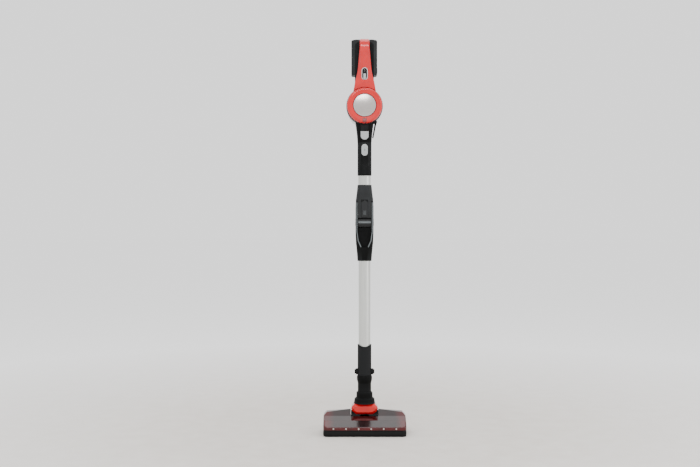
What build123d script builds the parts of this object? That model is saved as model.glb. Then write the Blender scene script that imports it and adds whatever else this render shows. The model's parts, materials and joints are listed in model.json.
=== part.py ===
from build123d import *
import os

# Cordless stick vacuum: a hand unit with a battery and a dust container, a wand that folds at
# its knee, and a powered floor head.
# Millimetres. X is to the right, Y to the back and Z up. The front of the machine faces -Y.
# The origin is on the floor under the tube's axis, with the wand upright.

# ---- Fits ----
slip = 0.05            # radial gap of a pin that turns or slides in its hole
seat = 0.1             # gap round a piece that is fixed in its seat
play = 0.4             # gap beside a piece that slides or swings
button_travel = 1.5    # how far a press button goes in
button_proud = 1.2     # how far a press button stands out
button_depth = 4.5     # depth of a press button's pocket

# ---- Levels, from the floor up ----
tilt_z = 46.0          # axis on which the head tilts
tilt_to_swivel = 42.0
collar_height = 36.0
neck_length = 53.0
sleeve_length = 97.0
lower_tube_shown = 262.0
flex_below = 121.0     # from the foot of the knee's housing to its pivot
flex_above = 117.0     # from the pivot to the top of the knee's housing
upper_tube_shown = 29.0
wand_collar_height = 104.0
neck_to_drum = 113.0
drum_to_top = 212.0

swivel_z = tilt_z + tilt_to_swivel
neck_z = swivel_z + collar_height
sleeve_z = neck_z + neck_length
sleeve_top = sleeve_z + sleeve_length
flex_foot = sleeve_top + lower_tube_shown
pivot_z = flex_foot + flex_below
flex_top = pivot_z + flex_above
wand_collar_z = flex_top + upper_tube_shown
wand_collar_top = wand_collar_z + wand_collar_height
drum_z = wand_collar_top + neck_to_drum
top_z = drum_z + drum_to_top

# ---- Floor head ----
head_width = 256.0
head_front = 90.0
head_back = 24.0
head_corner = 13.0
base_height = 20.0
sole_thickness = 4.0
cover_wall = 2.4
cover_lip = 9.0        # upright front of the cover, above the base
roll_y = -62.0
roll_z = 19.5
bristle_radius = 19.0
core_radius = 10.5
bristle_rows = 4
bristle_width = 5.0
roll_half = 110.0
roll_gap = 2.5
roll_axle = 3.5
bearing_wall = 5.0
belt_width = 5.0
roll_pulley_radius = 9.0
motor_pulley_radius = 5.5
belt_thickness = 1.6
motor_y = -10.0
motor_z = 32.0
brush_motor_radius = 12.5
brush_motor_length = 52.0
motor_shaft_radius = 1.6
notch_half = 43.4
notch_front = 28.0
ear_thickness = 5.0
ear_height = 52.5
ear_depth = 28.0
wheel_radius = 9.0
wheel_width = 10.0
wheel_x = 68.0
wheel_y = 13.0
wheel_stub = 2.2
led_count = 6
led_pitch = 38.5
led_radius = 2.4
led_z = 24.6
screw_head_radius = 3.4

# ---- Yoke and neck ----
yoke_half = 42.0
yoke_front = 25.0
yoke_back = 22.0
barrel_radius = 20.0
barrel_half = 42.6
tilt_pin_radius = 5.0
duct_radius = 15.0
duct_pipe_radius = 19.0
flare_radius = 33.5
collar_radius = 25.75
neck_radius = 21.0
neck_bulge = 24.0
spigot_radius = 18.0
spigot_length = 55.0
neck_seat = 24.0       # how far the neck tube reaches down into its collar
airway_radius = 16.0

# ---- Wand ----
lower_tube_radius = 18.5
upper_tube_radius = 19.5
tube_wall = 1.5
tube_grip = 36.0       # how far a tube goes into its sleeve or housing
sleeve_radius = 21.6
sleeve_dip = 7.0
lug_radius = 7.0
lug_boss_radius = 9.6
lug_reach = 31.3
lug_boss_reach = 27.3
lug_travel = 2.0
lug_floor = 1.4        # from the sleeve's skin out to the floor of the lug's pocket
wand_collar_width = 43.9
wand_collar_depth = 50.0
wand_collar_front = 27.0
tube_button_width = 19.4
tube_button_height = 36.5
tube_button_drop = 24.5   # from the collar's top to the button's middle

# ---- Knee ----
flex_end_width = 44.0
flex_width = 56.6
flex_depth = 50.0
tongue_half = 21.1
cheek_half = 21.5
cheek_radius = 68.0
cheek_front = 24.0
cheek_back = 18.0
knuckle_radius = 20.0
front_gap = 14.0       # from the pivot up to the front edge of the upper housing
rear_lap = 26.0        # how far the upper housing's back reaches below the pivot
web_drop = 30.0        # from the pivot down to the lower housing's inner top
recess_foot = 43.0     # height of the recess above the foot of the housing
recess_back = 16.0     # from the axis forward to the floor of the recess
knee_pin_radius = 4.0
knee_cap_radius = 11.0
knee_cap_proud = 0.8
hose_radius = 12.0
hose_wall = 2.0
flex_button_width = 21.0
flex_button_height = 54.0
bar_thickness = 1.6
trim_width = 3.0
trim_proud = 0.9

# ---- Hand unit ----
drum_radius = 57.0
drum_front = 26.0
drum_back = 8.0
shell_wall = 2.5
ring_radius = drum_radius - 2.0
ring_depth = 19.0
ring_inner = 36.9
tab_width = 12.0
tab_height = 12.5
disc_radius = 34.6
disc_edge = 2.6
disc_crown = 3.4
eye_radius = 20.0
motor_radius = 28.0
motor_length = 24.0
shaft_radius = 2.5
impeller_radius = 24.0
impeller_depth = 6.0
blade_count = 9
foam_depth = 5.0
slot_count = 7
neck_top_width = 58.0
neck_front = 26.0
neck_depth = 50.0
inlet_radius = 13.0
inlet_drop = 66.0      # from the drum's axis down to the inlet's axis
shield_width = 24.6
shield_height = 26.5
shield_top_drop = 79.0
lever_top = 49.0       # from the drum's axis down to the lever's pivot
lever_x = 36.0
lever_length = 50.0
lever_half = 11.0
lever_boss = 3.4
lever_stub = 1.6

# ---- Handle and battery ----
spine_front = 32.0
spine_split = 16.0
grip_back = 2.0
strip_width = 30.0
body_width = 65.0
loop_gap = 36.0
loop_top_thickness = 27.0
loop_foot = 60.0       # from the drum's axis up to the underside of the loop
loop_foot_thickness = 15.0
dock_thickness = 6.0
dock_half = 30.0
top_round = 29.0
roof = 6.0             # thickness of the red strip over the loop
battery_half = 41.4
battery_depth = 56.0
battery_height = 113.0
battery_proud = 8.0    # from the machine's top up to the battery's top
battery_wall = 2.4
battery_chamfer = 12.0
latch_width = 16.0
latch_height = 15.0
rail_half = 20.0
rail_width = 4.0
rail_height = 5.0
cell_radius = 9.2
cell_length = 65.0
cell_pitch = 19.0
socket_radius = 3.2
socket_depth = 6.5
switch_width = 19.0
switch_height = 39.0
switch_rim = 2.0
switch_z_drop = 113.0  # from the machine's top down to the switch's middle
slider_width = 8.2
slider_height = 17.0
slider_travel = 16.0

# ---- Dust container ----
bin_radius = drum_radius - 3.0
bin_wall = 2.2
bin_collar = 24.0
bin_length = 63.0
bin_gap = 1.0
lid_thickness = 7.0
hinge_drop = 3.6       # from the container's rim down to the lid's hinge axis
hinge_radius = 3.2
hinge_pin_radius = 1.5
hinge_half = 7.5
hinge_lug = 6.0
filter_radius = 30.0
filter_length = 60.0
pleat_radius = 24.0
pleat_depth = 3.0
pleat_count = 30

os.makedirs("parts", exist_ok=True)

# Planes and axes that several pieces share
drum_plane = Plane(origin=(0, 0, drum_z), x_dir=(0, 1, 0), z_dir=(1, 0, 0))
drum_axis = Axis((0, 0, drum_z), (0, 1, 0))
collar_y = wand_collar_depth / 2 - wand_collar_front
neck_y = neck_depth / 2 - neck_front


def front_plane(y, z=0.0):
    """A plane that faces the front, with X to the right and Z up, at depth y and height z."""
    return Plane(origin=(0, y, z), x_dir=(1, 0, 0), z_dir=(0, -1, 0))


def side_plane(x, z=0.0):
    """A plane across X, with Y to the right and Z up, at x and height z."""
    return Plane(origin=(x, 0, z), x_dir=(0, 1, 0), z_dir=(1, 0, 0))


# =====================================================================================
# Floor head
# =====================================================================================

def head_outline(inset):
    """The head's outer form above the base, drawn in by inset on every side."""
    slope_foot = base_height + cover_lip
    with BuildPart() as form:
        with BuildSketch(side_plane(0)):
            with BuildLine():
                Polyline(
                    (-head_front, 0),
                    (-head_front, slope_foot),
                    (roll_y, roll_z + bristle_radius + roll_gap + cover_wall + 1.5),
                    (-notch_front + 2, tilt_z + 6),
                    (head_back - 10, tilt_z + 21),
                    (head_back, tilt_z + 13),
                    (head_back, 0),
                    close=True,
                )
            make_face()
            offset(amount=-inset, kind=Kind.INTERSECTION)
        extrude(amount=head_width / 2 - inset, both=True)
        middle_y = (head_back - head_front) / 2
        depth = head_back + head_front
        with BuildSketch(Plane.XY.offset(-1)):
            with Locations((0, middle_y)):
                RectangleRounded(head_width - 2 * inset, depth - 2 * inset, head_corner - inset)
        extrude(amount=tilt_z + 40, mode=Mode.INTERSECT)
        with BuildSketch(front_plane(0)):
            with BuildLine():
                Polyline(
                    (-head_width / 2, 0),
                    (-head_width / 2, tilt_z + 7),
                    (-head_width / 2 + 9, tilt_z + 14.5),
                    (-notch_half, tilt_z + 21),
                    (notch_half, tilt_z + 21),
                    (head_width / 2 - 9, tilt_z + 14.5),
                    (head_width / 2, tilt_z + 7),
                    (head_width / 2, 0),
                    close=True,
                )
            make_face()
            offset(amount=-inset, kind=Kind.INTERSECTION)
        extrude(amount=depth, both=True, mode=Mode.INTERSECT)
    return form.part


cover_outer = head_outline(0.0)
cover_inner = head_outline(cover_wall)
notch_depth = head_back + notch_front

with BuildPart() as head_cover:
    add(cover_outer)
    front_edges = head_cover.edges().filter_by(Axis.X).group_by(Axis.Y)[0]
    fillet(front_edges.sort_by(Axis.Z)[-1], radius=4)
    add(cover_inner, mode=Mode.SUBTRACT)
    with BuildSketch(Plane.XY.offset(-2)):
        Rectangle(head_width * 2, head_width * 2)
    extrude(amount=base_height + 2, mode=Mode.SUBTRACT)
    with BuildSketch(Plane.XY.offset(base_height)):
        with Locations((0, (head_back - notch_front) / 2 + 5)):
            Rectangle(2 * notch_half, notch_depth + 10)
    extrude(amount=tilt_z + 40, mode=Mode.SUBTRACT)
    with BuildSketch(front_plane(-head_front, led_z)):
        with GridLocations(led_pitch, 0, led_count, 1):
            Circle(led_radius + seat)
    extrude(amount=-2 * cover_wall, mode=Mode.SUBTRACT)
head_cover.part.label = "head_cover"
export_step(head_cover.part, "parts/head_cover.step")

window_half = roll_half + roll_gap
window_front = roll_y - bristle_radius - roll_gap
window_back = roll_y + bristle_radius + roll_gap
belt_x = window_half + bearing_wall + play + belt_width / 2
block_top = roll_z + roll_axle + 5
well_half = wheel_width / 2 + play

with BuildPart() as head_base:
    with BuildSketch(Plane.XY):
        with Locations((0, (head_back - head_front) / 2)):
            RectangleRounded(head_width - 1, head_back + head_front - 1, head_corner)
    extrude(amount=base_height)
    fillet(head_base.faces().sort_by(Axis.Z)[0].edges(), radius=1.5)
    # Bay for the motor and the belt, open at the top
    with BuildSketch(Plane.XY.offset(sole_thickness)):
        with Locations((0, (window_back + bearing_wall + head_back - bearing_wall) / 2)):
            Rectangle(head_width - 4 * cover_wall, head_back - window_back - 2 * bearing_wall)
    extrude(amount=base_height, mode=Mode.SUBTRACT)
    # The way out for the wand at the back
    with BuildSketch(Plane.XY.offset(sole_thickness)):
        with Locations((0, head_back)):
            Rectangle(2 * notch_half, 2 * bearing_wall + 2)
    extrude(amount=base_height, mode=Mode.SUBTRACT)
    # Brush window, and the belt's bay beside it
    with BuildSketch(Plane.XY.offset(-1)):
        with Locations((0, (window_front + window_back) / 2)):
            Rectangle(2 * window_half, window_back - window_front)
    extrude(amount=base_height + 2, mode=Mode.SUBTRACT)
    with BuildSketch(Plane.XY.offset(sole_thickness)):
        with Locations((belt_x, (window_front + window_back) / 2 + 6)):
            Rectangle(belt_width + 2 * play, window_back - window_front + 12)
    extrude(amount=base_height, mode=Mode.SUBTRACT)
    # Bearing blocks of the brush roll
    with BuildSketch(Plane.XY.offset(base_height - 4)):
        with Locations((0, roll_y)):
            with GridLocations(2 * window_half + bearing_wall, 0, 2, 1):
                Rectangle(bearing_wall, 18)
    extrude(amount=block_top - base_height + 4)
    # Ears that carry the tilt pins, and the wall with the air way in front of the yoke
    with BuildSketch(Plane.XY):
        with Locations(
            (-notch_half - ear_thickness / 2, 0), (notch_half + ear_thickness / 2, 0)
        ):
            Rectangle(ear_thickness - 2 * seat, ear_depth)
    extrude(amount=ear_height)
    with BuildSketch(Plane.XY):
        with Locations((0, -notch_front + bearing_wall / 2 - 3)):
            Rectangle(2 * notch_half, bearing_wall)
    extrude(amount=tilt_z)
    with BuildSketch(front_plane(-notch_front - bearing_wall, base_height + 9)):
        RectangleRounded(2 * duct_radius, 14, 5)
    extrude(amount=-4 * bearing_wall, mode=Mode.SUBTRACT)
    # Pin holes
    with BuildSketch(side_plane(0, tilt_z)):
        Circle(tilt_pin_radius + seat)
    extrude(amount=notch_half + ear_thickness + 2, both=True, mode=Mode.SUBTRACT)
    with BuildSketch(side_plane(0, roll_z)):
        with Locations((roll_y, 0)):
            Circle(roll_axle + slip)
    extrude(amount=window_half + bearing_wall + 1, both=True, mode=Mode.SUBTRACT)
    # Wheel wells and the wheels' stub holes
    for side in (-1, 1):
        with BuildSketch(Plane.XY.offset(-1)):
            with Locations((side * wheel_x, wheel_y)):
                Rectangle(2 * well_half + 6, 2 * wheel_radius + 4)
        extrude(amount=base_height + 2, mode=Mode.SUBTRACT)
        for edge in (-1, 1):
            with BuildSketch(Plane.XY.offset(2)):
                with Locations((side * wheel_x + edge * (well_half + 2.5), wheel_y - 1)):
                    Rectangle(5, 2 * wheel_radius + 6)
            extrude(amount=base_height - 3)
        with BuildSketch(side_plane(side * wheel_x, wheel_radius)):
            with Locations((wheel_y, 0)):
                Circle(wheel_stub + slip)
        extrude(amount=well_half + 4, both=True, mode=Mode.SUBTRACT)
    # Screw holes in the sole
    with BuildSketch(Plane.XY.offset(-1)):
        with Locations((0, (window_back + sole_thickness))):
            with GridLocations(head_width / 2 + 60, 0, 2, 1):
                Circle(screw_head_radius + seat)
    extrude(amount=sole_thickness - 1, mode=Mode.SUBTRACT)
head_base.part.label = "head_base"
export_step(head_base.part, "parts/head_base.step")

with BuildPart() as led_board:
    with BuildSketch(front_plane(-head_front + cover_wall + 1.0, led_z)):
        Rectangle(led_count * led_pitch, 7)
    extrude(amount=-1.6)
led_board.part.label = "led_board"
export_step(led_board.part, "parts/led_board.step")

with BuildPart() as led_lenses:
    with BuildSketch(front_plane(-head_front, led_z)):
        with GridLocations(led_pitch, 0, led_count, 1):
            Circle(led_radius)
    extrude(amount=-(cover_wall + 1.0))
led_lenses.part.label = "led_lenses"
export_step(led_lenses.part, "parts/led_lenses.step")

with BuildPart() as brush_core:
    with BuildSketch(side_plane(-roll_half, roll_z)):
        with Locations((roll_y, 0)):
            Circle(core_radius)
    extrude(amount=2 * roll_half)
    with BuildSketch(side_plane(-window_half - bearing_wall, roll_z)):
        with Locations((roll_y, 0)):
            Circle(roll_axle)
    extrude(amount=window_half + bearing_wall + belt_x + belt_width / 2)
    with BuildSketch(side_plane(belt_x - belt_width / 2, roll_z)):
        with Locations((roll_y, 0)):
            Circle(roll_pulley_radius)
    extrude(amount=belt_width)
brush_core.part.label = "brush_core"
export_step(brush_core.part, "parts/brush_core.step")

roll_plane = side_plane(-roll_half + 2, roll_z)
with BuildPart() as brush_bristles:
    with BuildSketch(roll_plane):
        with Locations((roll_y, 0)):
            with PolarLocations((core_radius + bristle_radius) / 2, bristle_rows, start_angle=45):
                Rectangle(bristle_radius - core_radius + 0.6, bristle_width)
    extrude(amount=2 * roll_half - 4)
    with BuildSketch(roll_plane):
        with Locations((roll_y, 0)):
            Circle(bristle_radius + 5)
            Circle(bristle_radius, mode=Mode.SUBTRACT)
            Circle(core_radius + seat / 2)
    extrude(amount=2 * roll_half - 4, mode=Mode.SUBTRACT)
brush_bristles.part.label = "brush_bristles"
export_step(brush_bristles.part, "parts/brush_bristles.step")

motor_x = belt_x - belt_width / 2 - 4 - brush_motor_length / 2
with BuildPart() as brush_motor:
    with BuildSketch(side_plane(motor_x - brush_motor_length / 2, motor_z)):
        with Locations((motor_y, 0)):
            Circle(brush_motor_radius)
            Circle(motor_shaft_radius + slip, mode=Mode.SUBTRACT)
    extrude(amount=brush_motor_length)
    with BuildSketch(side_plane(motor_x + brush_motor_length / 2 - 3, motor_z)):
        with Locations((motor_y, 0)):
            RectangleRounded(2 * brush_motor_radius + 4, 2 * brush_motor_radius - 4, 5)
            Circle(motor_shaft_radius + slip, mode=Mode.SUBTRACT)
    extrude(amount=2)
brush_motor.part.label = "brush_motor"
export_step(brush_motor.part, "parts/brush_motor.step")

with BuildPart() as motor_pulley:
    with BuildSketch(side_plane(belt_x - belt_width / 2, motor_z)):
        with Locations((motor_y, 0)):
            Circle(motor_pulley_radius)
    extrude(amount=belt_width)
    with BuildSketch(side_plane(motor_x - brush_motor_length / 2 + 2, motor_z)):
        with Locations((motor_y, 0)):
            Circle(motor_shaft_radius)
    extrude(amount=brush_motor_length + 3)
motor_pulley.part.label = "motor_pulley"
export_step(motor_pulley.part, "parts/motor_pulley.step")

with BuildPart() as drive_belt:
    with BuildSketch(side_plane(belt_x - belt_width / 2 + 0.5)) as belt_ring:
        with Locations((roll_y, roll_z)):
            Circle(roll_pulley_radius + play + belt_thickness)
        with Locations((motor_y, motor_z)):
            Circle(motor_pulley_radius + play + belt_thickness)
        make_hull()
        with BuildSketch(side_plane(belt_x - belt_width / 2 + 0.5), mode=Mode.PRIVATE) as belt_hole:
            with Locations((roll_y, roll_z)):
                Circle(roll_pulley_radius + play)
            with Locations((motor_y, motor_z)):
                Circle(motor_pulley_radius + play)
            make_hull()
        add(belt_hole.sketch_local, mode=Mode.SUBTRACT)
    extrude(amount=belt_width - 1)
drive_belt.part.label = "drive_belt"
export_step(drive_belt.part, "parts/drive_belt.step")

for side, wheel_name in ((-1, "wheel_left"), (1, "wheel_right")):
    with BuildPart() as wheel:
        with BuildSketch(side_plane(side * wheel_x, wheel_radius)):
            with Locations((wheel_y, 0)):
                Circle(wheel_radius)
        extrude(amount=wheel_width / 2, both=True)
        fillet(wheel.edges().filter_by(GeomType.CIRCLE), radius=1.5)
        with BuildSketch(side_plane(side * wheel_x, wheel_radius)):
            with Locations((wheel_y, 0)):
                Circle(wheel_stub)
        extrude(amount=well_half + 3.5, both=True)
    wheel.part.label = wheel_name
    export_step(wheel.part, f"parts/{wheel_name}.step")

with BuildPart() as sole_screws:
    with BuildSketch(Plane.XY.offset(0.4)):
        with Locations((0, window_back + sole_thickness)):
            with GridLocations(head_width / 2 + 60, 0, 2, 1):
                Circle(screw_head_radius)
    extrude(amount=sole_thickness - 2.5)
    fillet(sole_screws.faces().sort_by(Axis.Z)[0].edges(), radius=0.5)
sole_screws.part.label = "sole_screws"
export_step(sole_screws.part, "parts/sole_screws.step")

# =====================================================================================
# Yoke and neck
# =====================================================================================

with BuildPart() as yoke_duct:
    with BuildSketch(side_plane(0, tilt_z)):
        Circle(barrel_radius)
    extrude(amount=barrel_half, both=True)
    with BuildSketch(Plane.XY.offset(tilt_z)):
        Circle(duct_pipe_radius)
    extrude(amount=tilt_to_swivel - play)
    with BuildSketch(Plane.XY.offset(tilt_z - 4)):
        Circle(duct_radius)
    extrude(amount=tilt_to_swivel + 10, mode=Mode.SUBTRACT)
    with BuildSketch(front_plane(0, tilt_z - 1)):
        RectangleRounded(2 * duct_radius, 20, 6)
    extrude(amount=barrel_radius + 5, mode=Mode.SUBTRACT)
    with BuildSketch(side_plane(0, tilt_z)):
        Circle(tilt_pin_radius + slip)
    extrude(amount=barrel_half + 1, both=True, mode=Mode.SUBTRACT)
yoke_duct.part.label = "yoke_duct"
export_step(yoke_duct.part, "parts/yoke_duct.step")

with BuildPart() as red_yoke:
    with BuildSketch(front_plane(-yoke_front, tilt_z)):
        with BuildLine():
            Polyline(
                (-25, 10),
                (-yoke_half + 6, 17),
                (-yoke_half, 28),
                (-yoke_half + 3, 35),
                (-flare_radius + 1, tilt_to_swivel - play),
                (flare_radius - 1, tilt_to_swivel - play),
                (yoke_half - 3, 35),
                (yoke_half, 28),
                (yoke_half - 6, 17),
                (25, 10),
                close=True,
            )
        make_face()
    extrude(amount=-(yoke_front + yoke_back))
    chamfer(red_yoke.faces().sort_by(Axis.Y)[0].edges(), length=7)
    chamfer(red_yoke.faces().sort_by(Axis.Y)[-1].edges(), length=5)
    with BuildSketch(side_plane(0, tilt_z)):
        Circle(barrel_radius + seat)
    extrude(amount=yoke_half + 1, both=True, mode=Mode.SUBTRACT)
    with BuildSketch(Plane.XY.offset(tilt_z)):
        Circle(duct_pipe_radius + seat)
    extrude(amount=tilt_to_swivel + 1, mode=Mode.SUBTRACT)
red_yoke.part.label = "red_yoke"
export_step(red_yoke.part, "parts/red_yoke.step")

with BuildPart() as tilt_pins:
    for side in (-1, 1):
        with BuildSketch(side_plane(side * (barrel_half - 8), tilt_z)):
            Circle(tilt_pin_radius)
        extrude(amount=side * (notch_half + ear_thickness - barrel_half + 8 - seat))
tilt_pins.part.label = "tilt_pins"
export_step(tilt_pins.part, "parts/tilt_pins.step")

with BuildPart() as nozzle_neck:
    with BuildSketch(Plane.XZ):
        with BuildLine():
            Polyline(
                (airway_radius, neck_z - neck_seat),
                (neck_radius, neck_z - neck_seat),
                (neck_radius, neck_z + 27),
                (neck_bulge, neck_z + 39),
                (neck_bulge, neck_z + 47),
                (neck_bulge - 1.5, sleeve_z - play),
                (spigot_radius, sleeve_z - play),
                (spigot_radius, sleeve_z + spigot_length),
                (airway_radius, sleeve_z + spigot_length),
                close=True,
            )
        make_face()
    revolve(axis=Axis.Z)
nozzle_neck.part.label = "nozzle_neck"
export_step(nozzle_neck.part, "parts/nozzle_neck.step")

with BuildPart() as neck_collar:
    with BuildSketch(Plane.XZ):
        with BuildLine():
            Polyline(
                (airway_radius, swivel_z + play),
                (flare_radius, swivel_z + play),
                (flare_radius - 2.5, swivel_z + 15),
                (collar_radius, swivel_z + 19),
                (collar_radius - 0.5, neck_z - 2),
                (collar_radius - 2.5, neck_z),
                (neck_radius + seat, neck_z),
                (neck_radius + seat, neck_z - neck_seat - seat),
                (airway_radius, neck_z - neck_seat - seat),
                close=True,
            )
        make_face()
    revolve(axis=Axis.Z)
neck_collar.part.label = "neck_collar"
export_step(neck_collar.part, "parts/neck_collar.step")

# =====================================================================================
# Lower wand
# =====================================================================================

lug_z = sleeve_z + lug_boss_radius + 1
with BuildPart() as lower_sleeve:
    with BuildSketch(Plane.XY.offset(sleeve_z)):
        Circle(sleeve_radius)
    extrude(amount=sleeve_length)
    for side in (-1, 1):
        with BuildSketch(side_plane(0, lug_z)):
            Circle(lug_boss_radius)
        extrude(amount=side * lug_boss_reach)
    with BuildSketch(front_plane(-sleeve_radius - 1, sleeve_top)):
        dip_radius = (sleeve_radius ** 2 + sleeve_dip ** 2) / (2 * sleeve_dip)
        with Locations((0, dip_radius - sleeve_dip)):
            Circle(dip_radius)
    extrude(amount=-2 * sleeve_radius - 2, mode=Mode.SUBTRACT)
    with BuildSketch(Plane.XY.offset(sleeve_z - 1)):
        Circle(spigot_radius + play)
    extrude(amount=sleeve_length - tube_grip + 2, mode=Mode.SUBTRACT)
    with BuildSketch(Plane.XY.offset(sleeve_top - tube_grip)):
        Circle(lower_tube_radius + seat)
    extrude(amount=tube_grip + 1, mode=Mode.SUBTRACT)
    for side in (-1, 1):
        with BuildSketch(side_plane(side * (sleeve_radius + lug_floor), lug_z)):
            Circle(lug_radius + play)
        extrude(amount=side * 2 * lug_boss_radius, mode=Mode.SUBTRACT)
lower_sleeve.part.label = "lower_sleeve"
export_step(lower_sleeve.part, "parts/lower_sleeve.step")

for side, lug_name in ((-1, "lug_left"), (1, "lug_right")):
    with BuildPart() as lug:
        lug_foot = sleeve_radius + lug_floor + lug_travel + play
        with BuildSketch(side_plane(side * lug_foot, lug_z)):
            Circle(lug_radius)
        extrude(amount=side * (lug_reach - lug_foot))
        outer_face = lug.faces().sort_by(Axis.X)[-1 if side > 0 else 0]
        fillet(outer_face.edges(), radius=2.5)
    lug.part.label = lug_name
    export_step(lug.part, f"parts/{lug_name}.step")

with BuildPart() as lower_tube:
    with BuildSketch(Plane.XY.offset(sleeve_top - tube_grip + 1)):
        Circle(lower_tube_radius)
        Circle(lower_tube_radius - tube_wall, mode=Mode.SUBTRACT)
    extrude(amount=lower_tube_shown + 2 * tube_grip - 2)
lower_tube.part.label = "lower_tube"
export_step(lower_tube.part, "parts/lower_tube.step")

# =====================================================================================
# Knee
# =====================================================================================

def knee_form(swell):
    """The outer form of both housings of the knee, larger by swell all round."""
    sections = (
        (flex_foot, flex_end_width, 44.0),
        (flex_foot + 26, 48.0, 46.0),
        (flex_foot + 54, 53.6, 48.0),
        (flex_foot + 84, flex_width, flex_depth),
        (pivot_z + 45, flex_width, flex_depth),
        (pivot_z + 71, 54.6, 49.0),
        (pivot_z + 88, 50.0, 47.0),
        (flex_top, flex_end_width, 44.0),
    )
    with BuildPart() as form:
        for level, width, depth in sections:
            with BuildSketch(Plane.XY.offset(level)):
                RectangleRounded(width + 2 * swell, depth + 2 * swell, 14 + swell)
        loft(ruled=True)
    return form.part


knee_solid = knee_form(0.0)

with BuildPart() as flex_lower_shell:
    add(knee_solid)
    # Everything above the pivot but the two cheeks
    with BuildSketch(side_plane(0, pivot_z)):
        with Locations((0, 100)):
            Rectangle(200, 200)
        Circle(cheek_radius, mode=Mode.SUBTRACT)
    extrude(amount=flex_width, both=True, mode=Mode.SUBTRACT)
    with BuildSketch(Plane.XY.offset(pivot_z - web_drop)):
        Rectangle(2 * cheek_half, 4 * flex_depth)
    extrude(amount=flex_above + web_drop, mode=Mode.SUBTRACT)
    # The knee folds into this recess
    with BuildSketch(front_plane(-recess_back, flex_foot + recess_foot)):
        with BuildLine():
            Polyline(
                (-8, 0),
                (-17, 21),
                (-cheek_half, web_drop + 18),
                (-cheek_half, flex_above),
                (cheek_half, flex_above),
                (cheek_half, web_drop + 18),
                (17, 21),
                (8, 0),
                close=True,
            )
        make_face()
    extrude(amount=flex_depth, mode=Mode.SUBTRACT)
    # The back edge of the cheeks
    with BuildSketch(Plane.XY.offset(pivot_z - web_drop)):
        with Locations((0, cheek_back + 50)):
            Rectangle(4 * flex_width, 100)
    extrude(amount=flex_above, mode=Mode.SUBTRACT)
    # A bridge round the hose closes the gap below the knuckle
    with BuildSketch(side_plane(0, pivot_z)):
        with Locations((-8.25, 7 - web_drop)):
            Rectangle(10.5, 16)
        Circle(knuckle_radius + bar_thickness + 2 * play, mode=Mode.SUBTRACT)
    extrude(amount=cheek_half + 1, both=True)
    with BuildSketch(Plane.XY.offset(flex_foot - 1)):
        Circle(lower_tube_radius + seat)
    extrude(amount=tube_grip + 2, mode=Mode.SUBTRACT)
    with BuildSketch(Plane.XY.offset(flex_foot)):
        Circle(hose_radius + play)
    extrude(amount=flex_below, mode=Mode.SUBTRACT)
    with BuildSketch(side_plane(0, pivot_z)):
        Circle(knee_pin_radius + seat)
    extrude(amount=flex_width, both=True, mode=Mode.SUBTRACT)
flex_lower_shell.part.label = "flex_lower_shell"
export_step(flex_lower_shell.part, "parts/flex_lower_shell.step")

with BuildPart() as flex_upper_shell:
    add(knee_solid)
    # The shoulders stay clear of the cheeks as they swing
    with BuildSketch(side_plane(0, pivot_z)):
        Circle(cheek_radius + 4 * play)
        with Locations((0, -100)):
            Rectangle(200, 200)
    extrude(amount=flex_width, both=True, mode=Mode.SUBTRACT)
    # The tongue between the cheeks, with its knuckle round the pivot
    with BuildSketch(side_plane(0, pivot_z)):
        with Locations((0, (front_gap + flex_above - 40) / 2)):
            Rectangle(2 * cheek_front, flex_above - 40 - front_gap)
        Circle(knuckle_radius)
        with Locations((cheek_front / 2, (front_gap - rear_lap) / 2)):
            Rectangle(cheek_front, front_gap + rear_lap)
    extrude(amount=tongue_half, both=True)
    with BuildSketch(Plane.XY.offset(flex_top - tube_grip)):
        Circle(upper_tube_radius + seat)
    extrude(amount=tube_grip + 1, mode=Mode.SUBTRACT)
    with BuildSketch(Plane.XY.offset(pivot_z)):
        Circle(hose_radius + play)
    extrude(amount=flex_above, mode=Mode.SUBTRACT)
    # The hose bends inside the knuckle
    with BuildSketch(Plane.XY.offset(pivot_z - rear_lap - 1)):
        with Locations((0, 2.5)):
            Rectangle(2 * hose_radius + 2 * play, 2 * hose_radius + 6)
    extrude(amount=rear_lap + front_gap + 6, mode=Mode.SUBTRACT)
    with BuildSketch(side_plane(0, pivot_z)):
        Circle(knee_pin_radius + slip)
    extrude(amount=flex_width, both=True, mode=Mode.SUBTRACT)
    with BuildSketch(front_plane(-cheek_front - 5, pivot_z + front_gap + 29)):
        Rectangle(flex_button_width + 2 * play, flex_button_height + 2 * play)
    extrude(amount=-(5 + button_depth), mode=Mode.SUBTRACT)
flex_upper_shell.part.label = "flex_upper_shell"
export_step(flex_upper_shell.part, "parts/flex_upper_shell.step")

with BuildPart() as flex_pins:
    for side in (-1, 1):
        with BuildSketch(side_plane(side * (hose_radius + play + 1.2), pivot_z)):
            Circle(knee_pin_radius)
        extrude(amount=side * (flex_width / 2 - hose_radius - play - 1.2))
        with BuildSketch(side_plane(side * flex_width / 2, pivot_z)):
            Circle(knee_cap_radius)
        extrude(amount=side * knee_cap_proud)
flex_pins.part.label = "flex_pins"
export_step(flex_pins.part, "parts/flex_pins.step")

with BuildPart() as flex_bar:
    with BuildSketch(front_plane(-knuckle_radius - bar_thickness, pivot_z)):
        RectangleRounded(2 * tongue_half - 3, 6, 2)
    extrude(amount=-bar_thickness)
flex_bar.part.label = "flex_bar"
export_step(flex_bar.part, "parts/flex_bar.step")

with BuildPart() as flex_hose:
    with BuildSketch(Plane.XY.offset(flex_foot + tube_grip + 2)):
        Circle(hose_radius)
        Circle(hose_radius - hose_wall, mode=Mode.SUBTRACT)
    extrude(amount=flex_below + flex_above - 2 * tube_grip - 4)
flex_hose.part.label = "flex_hose"
export_step(flex_hose.part, "parts/flex_hose.step")

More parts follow.
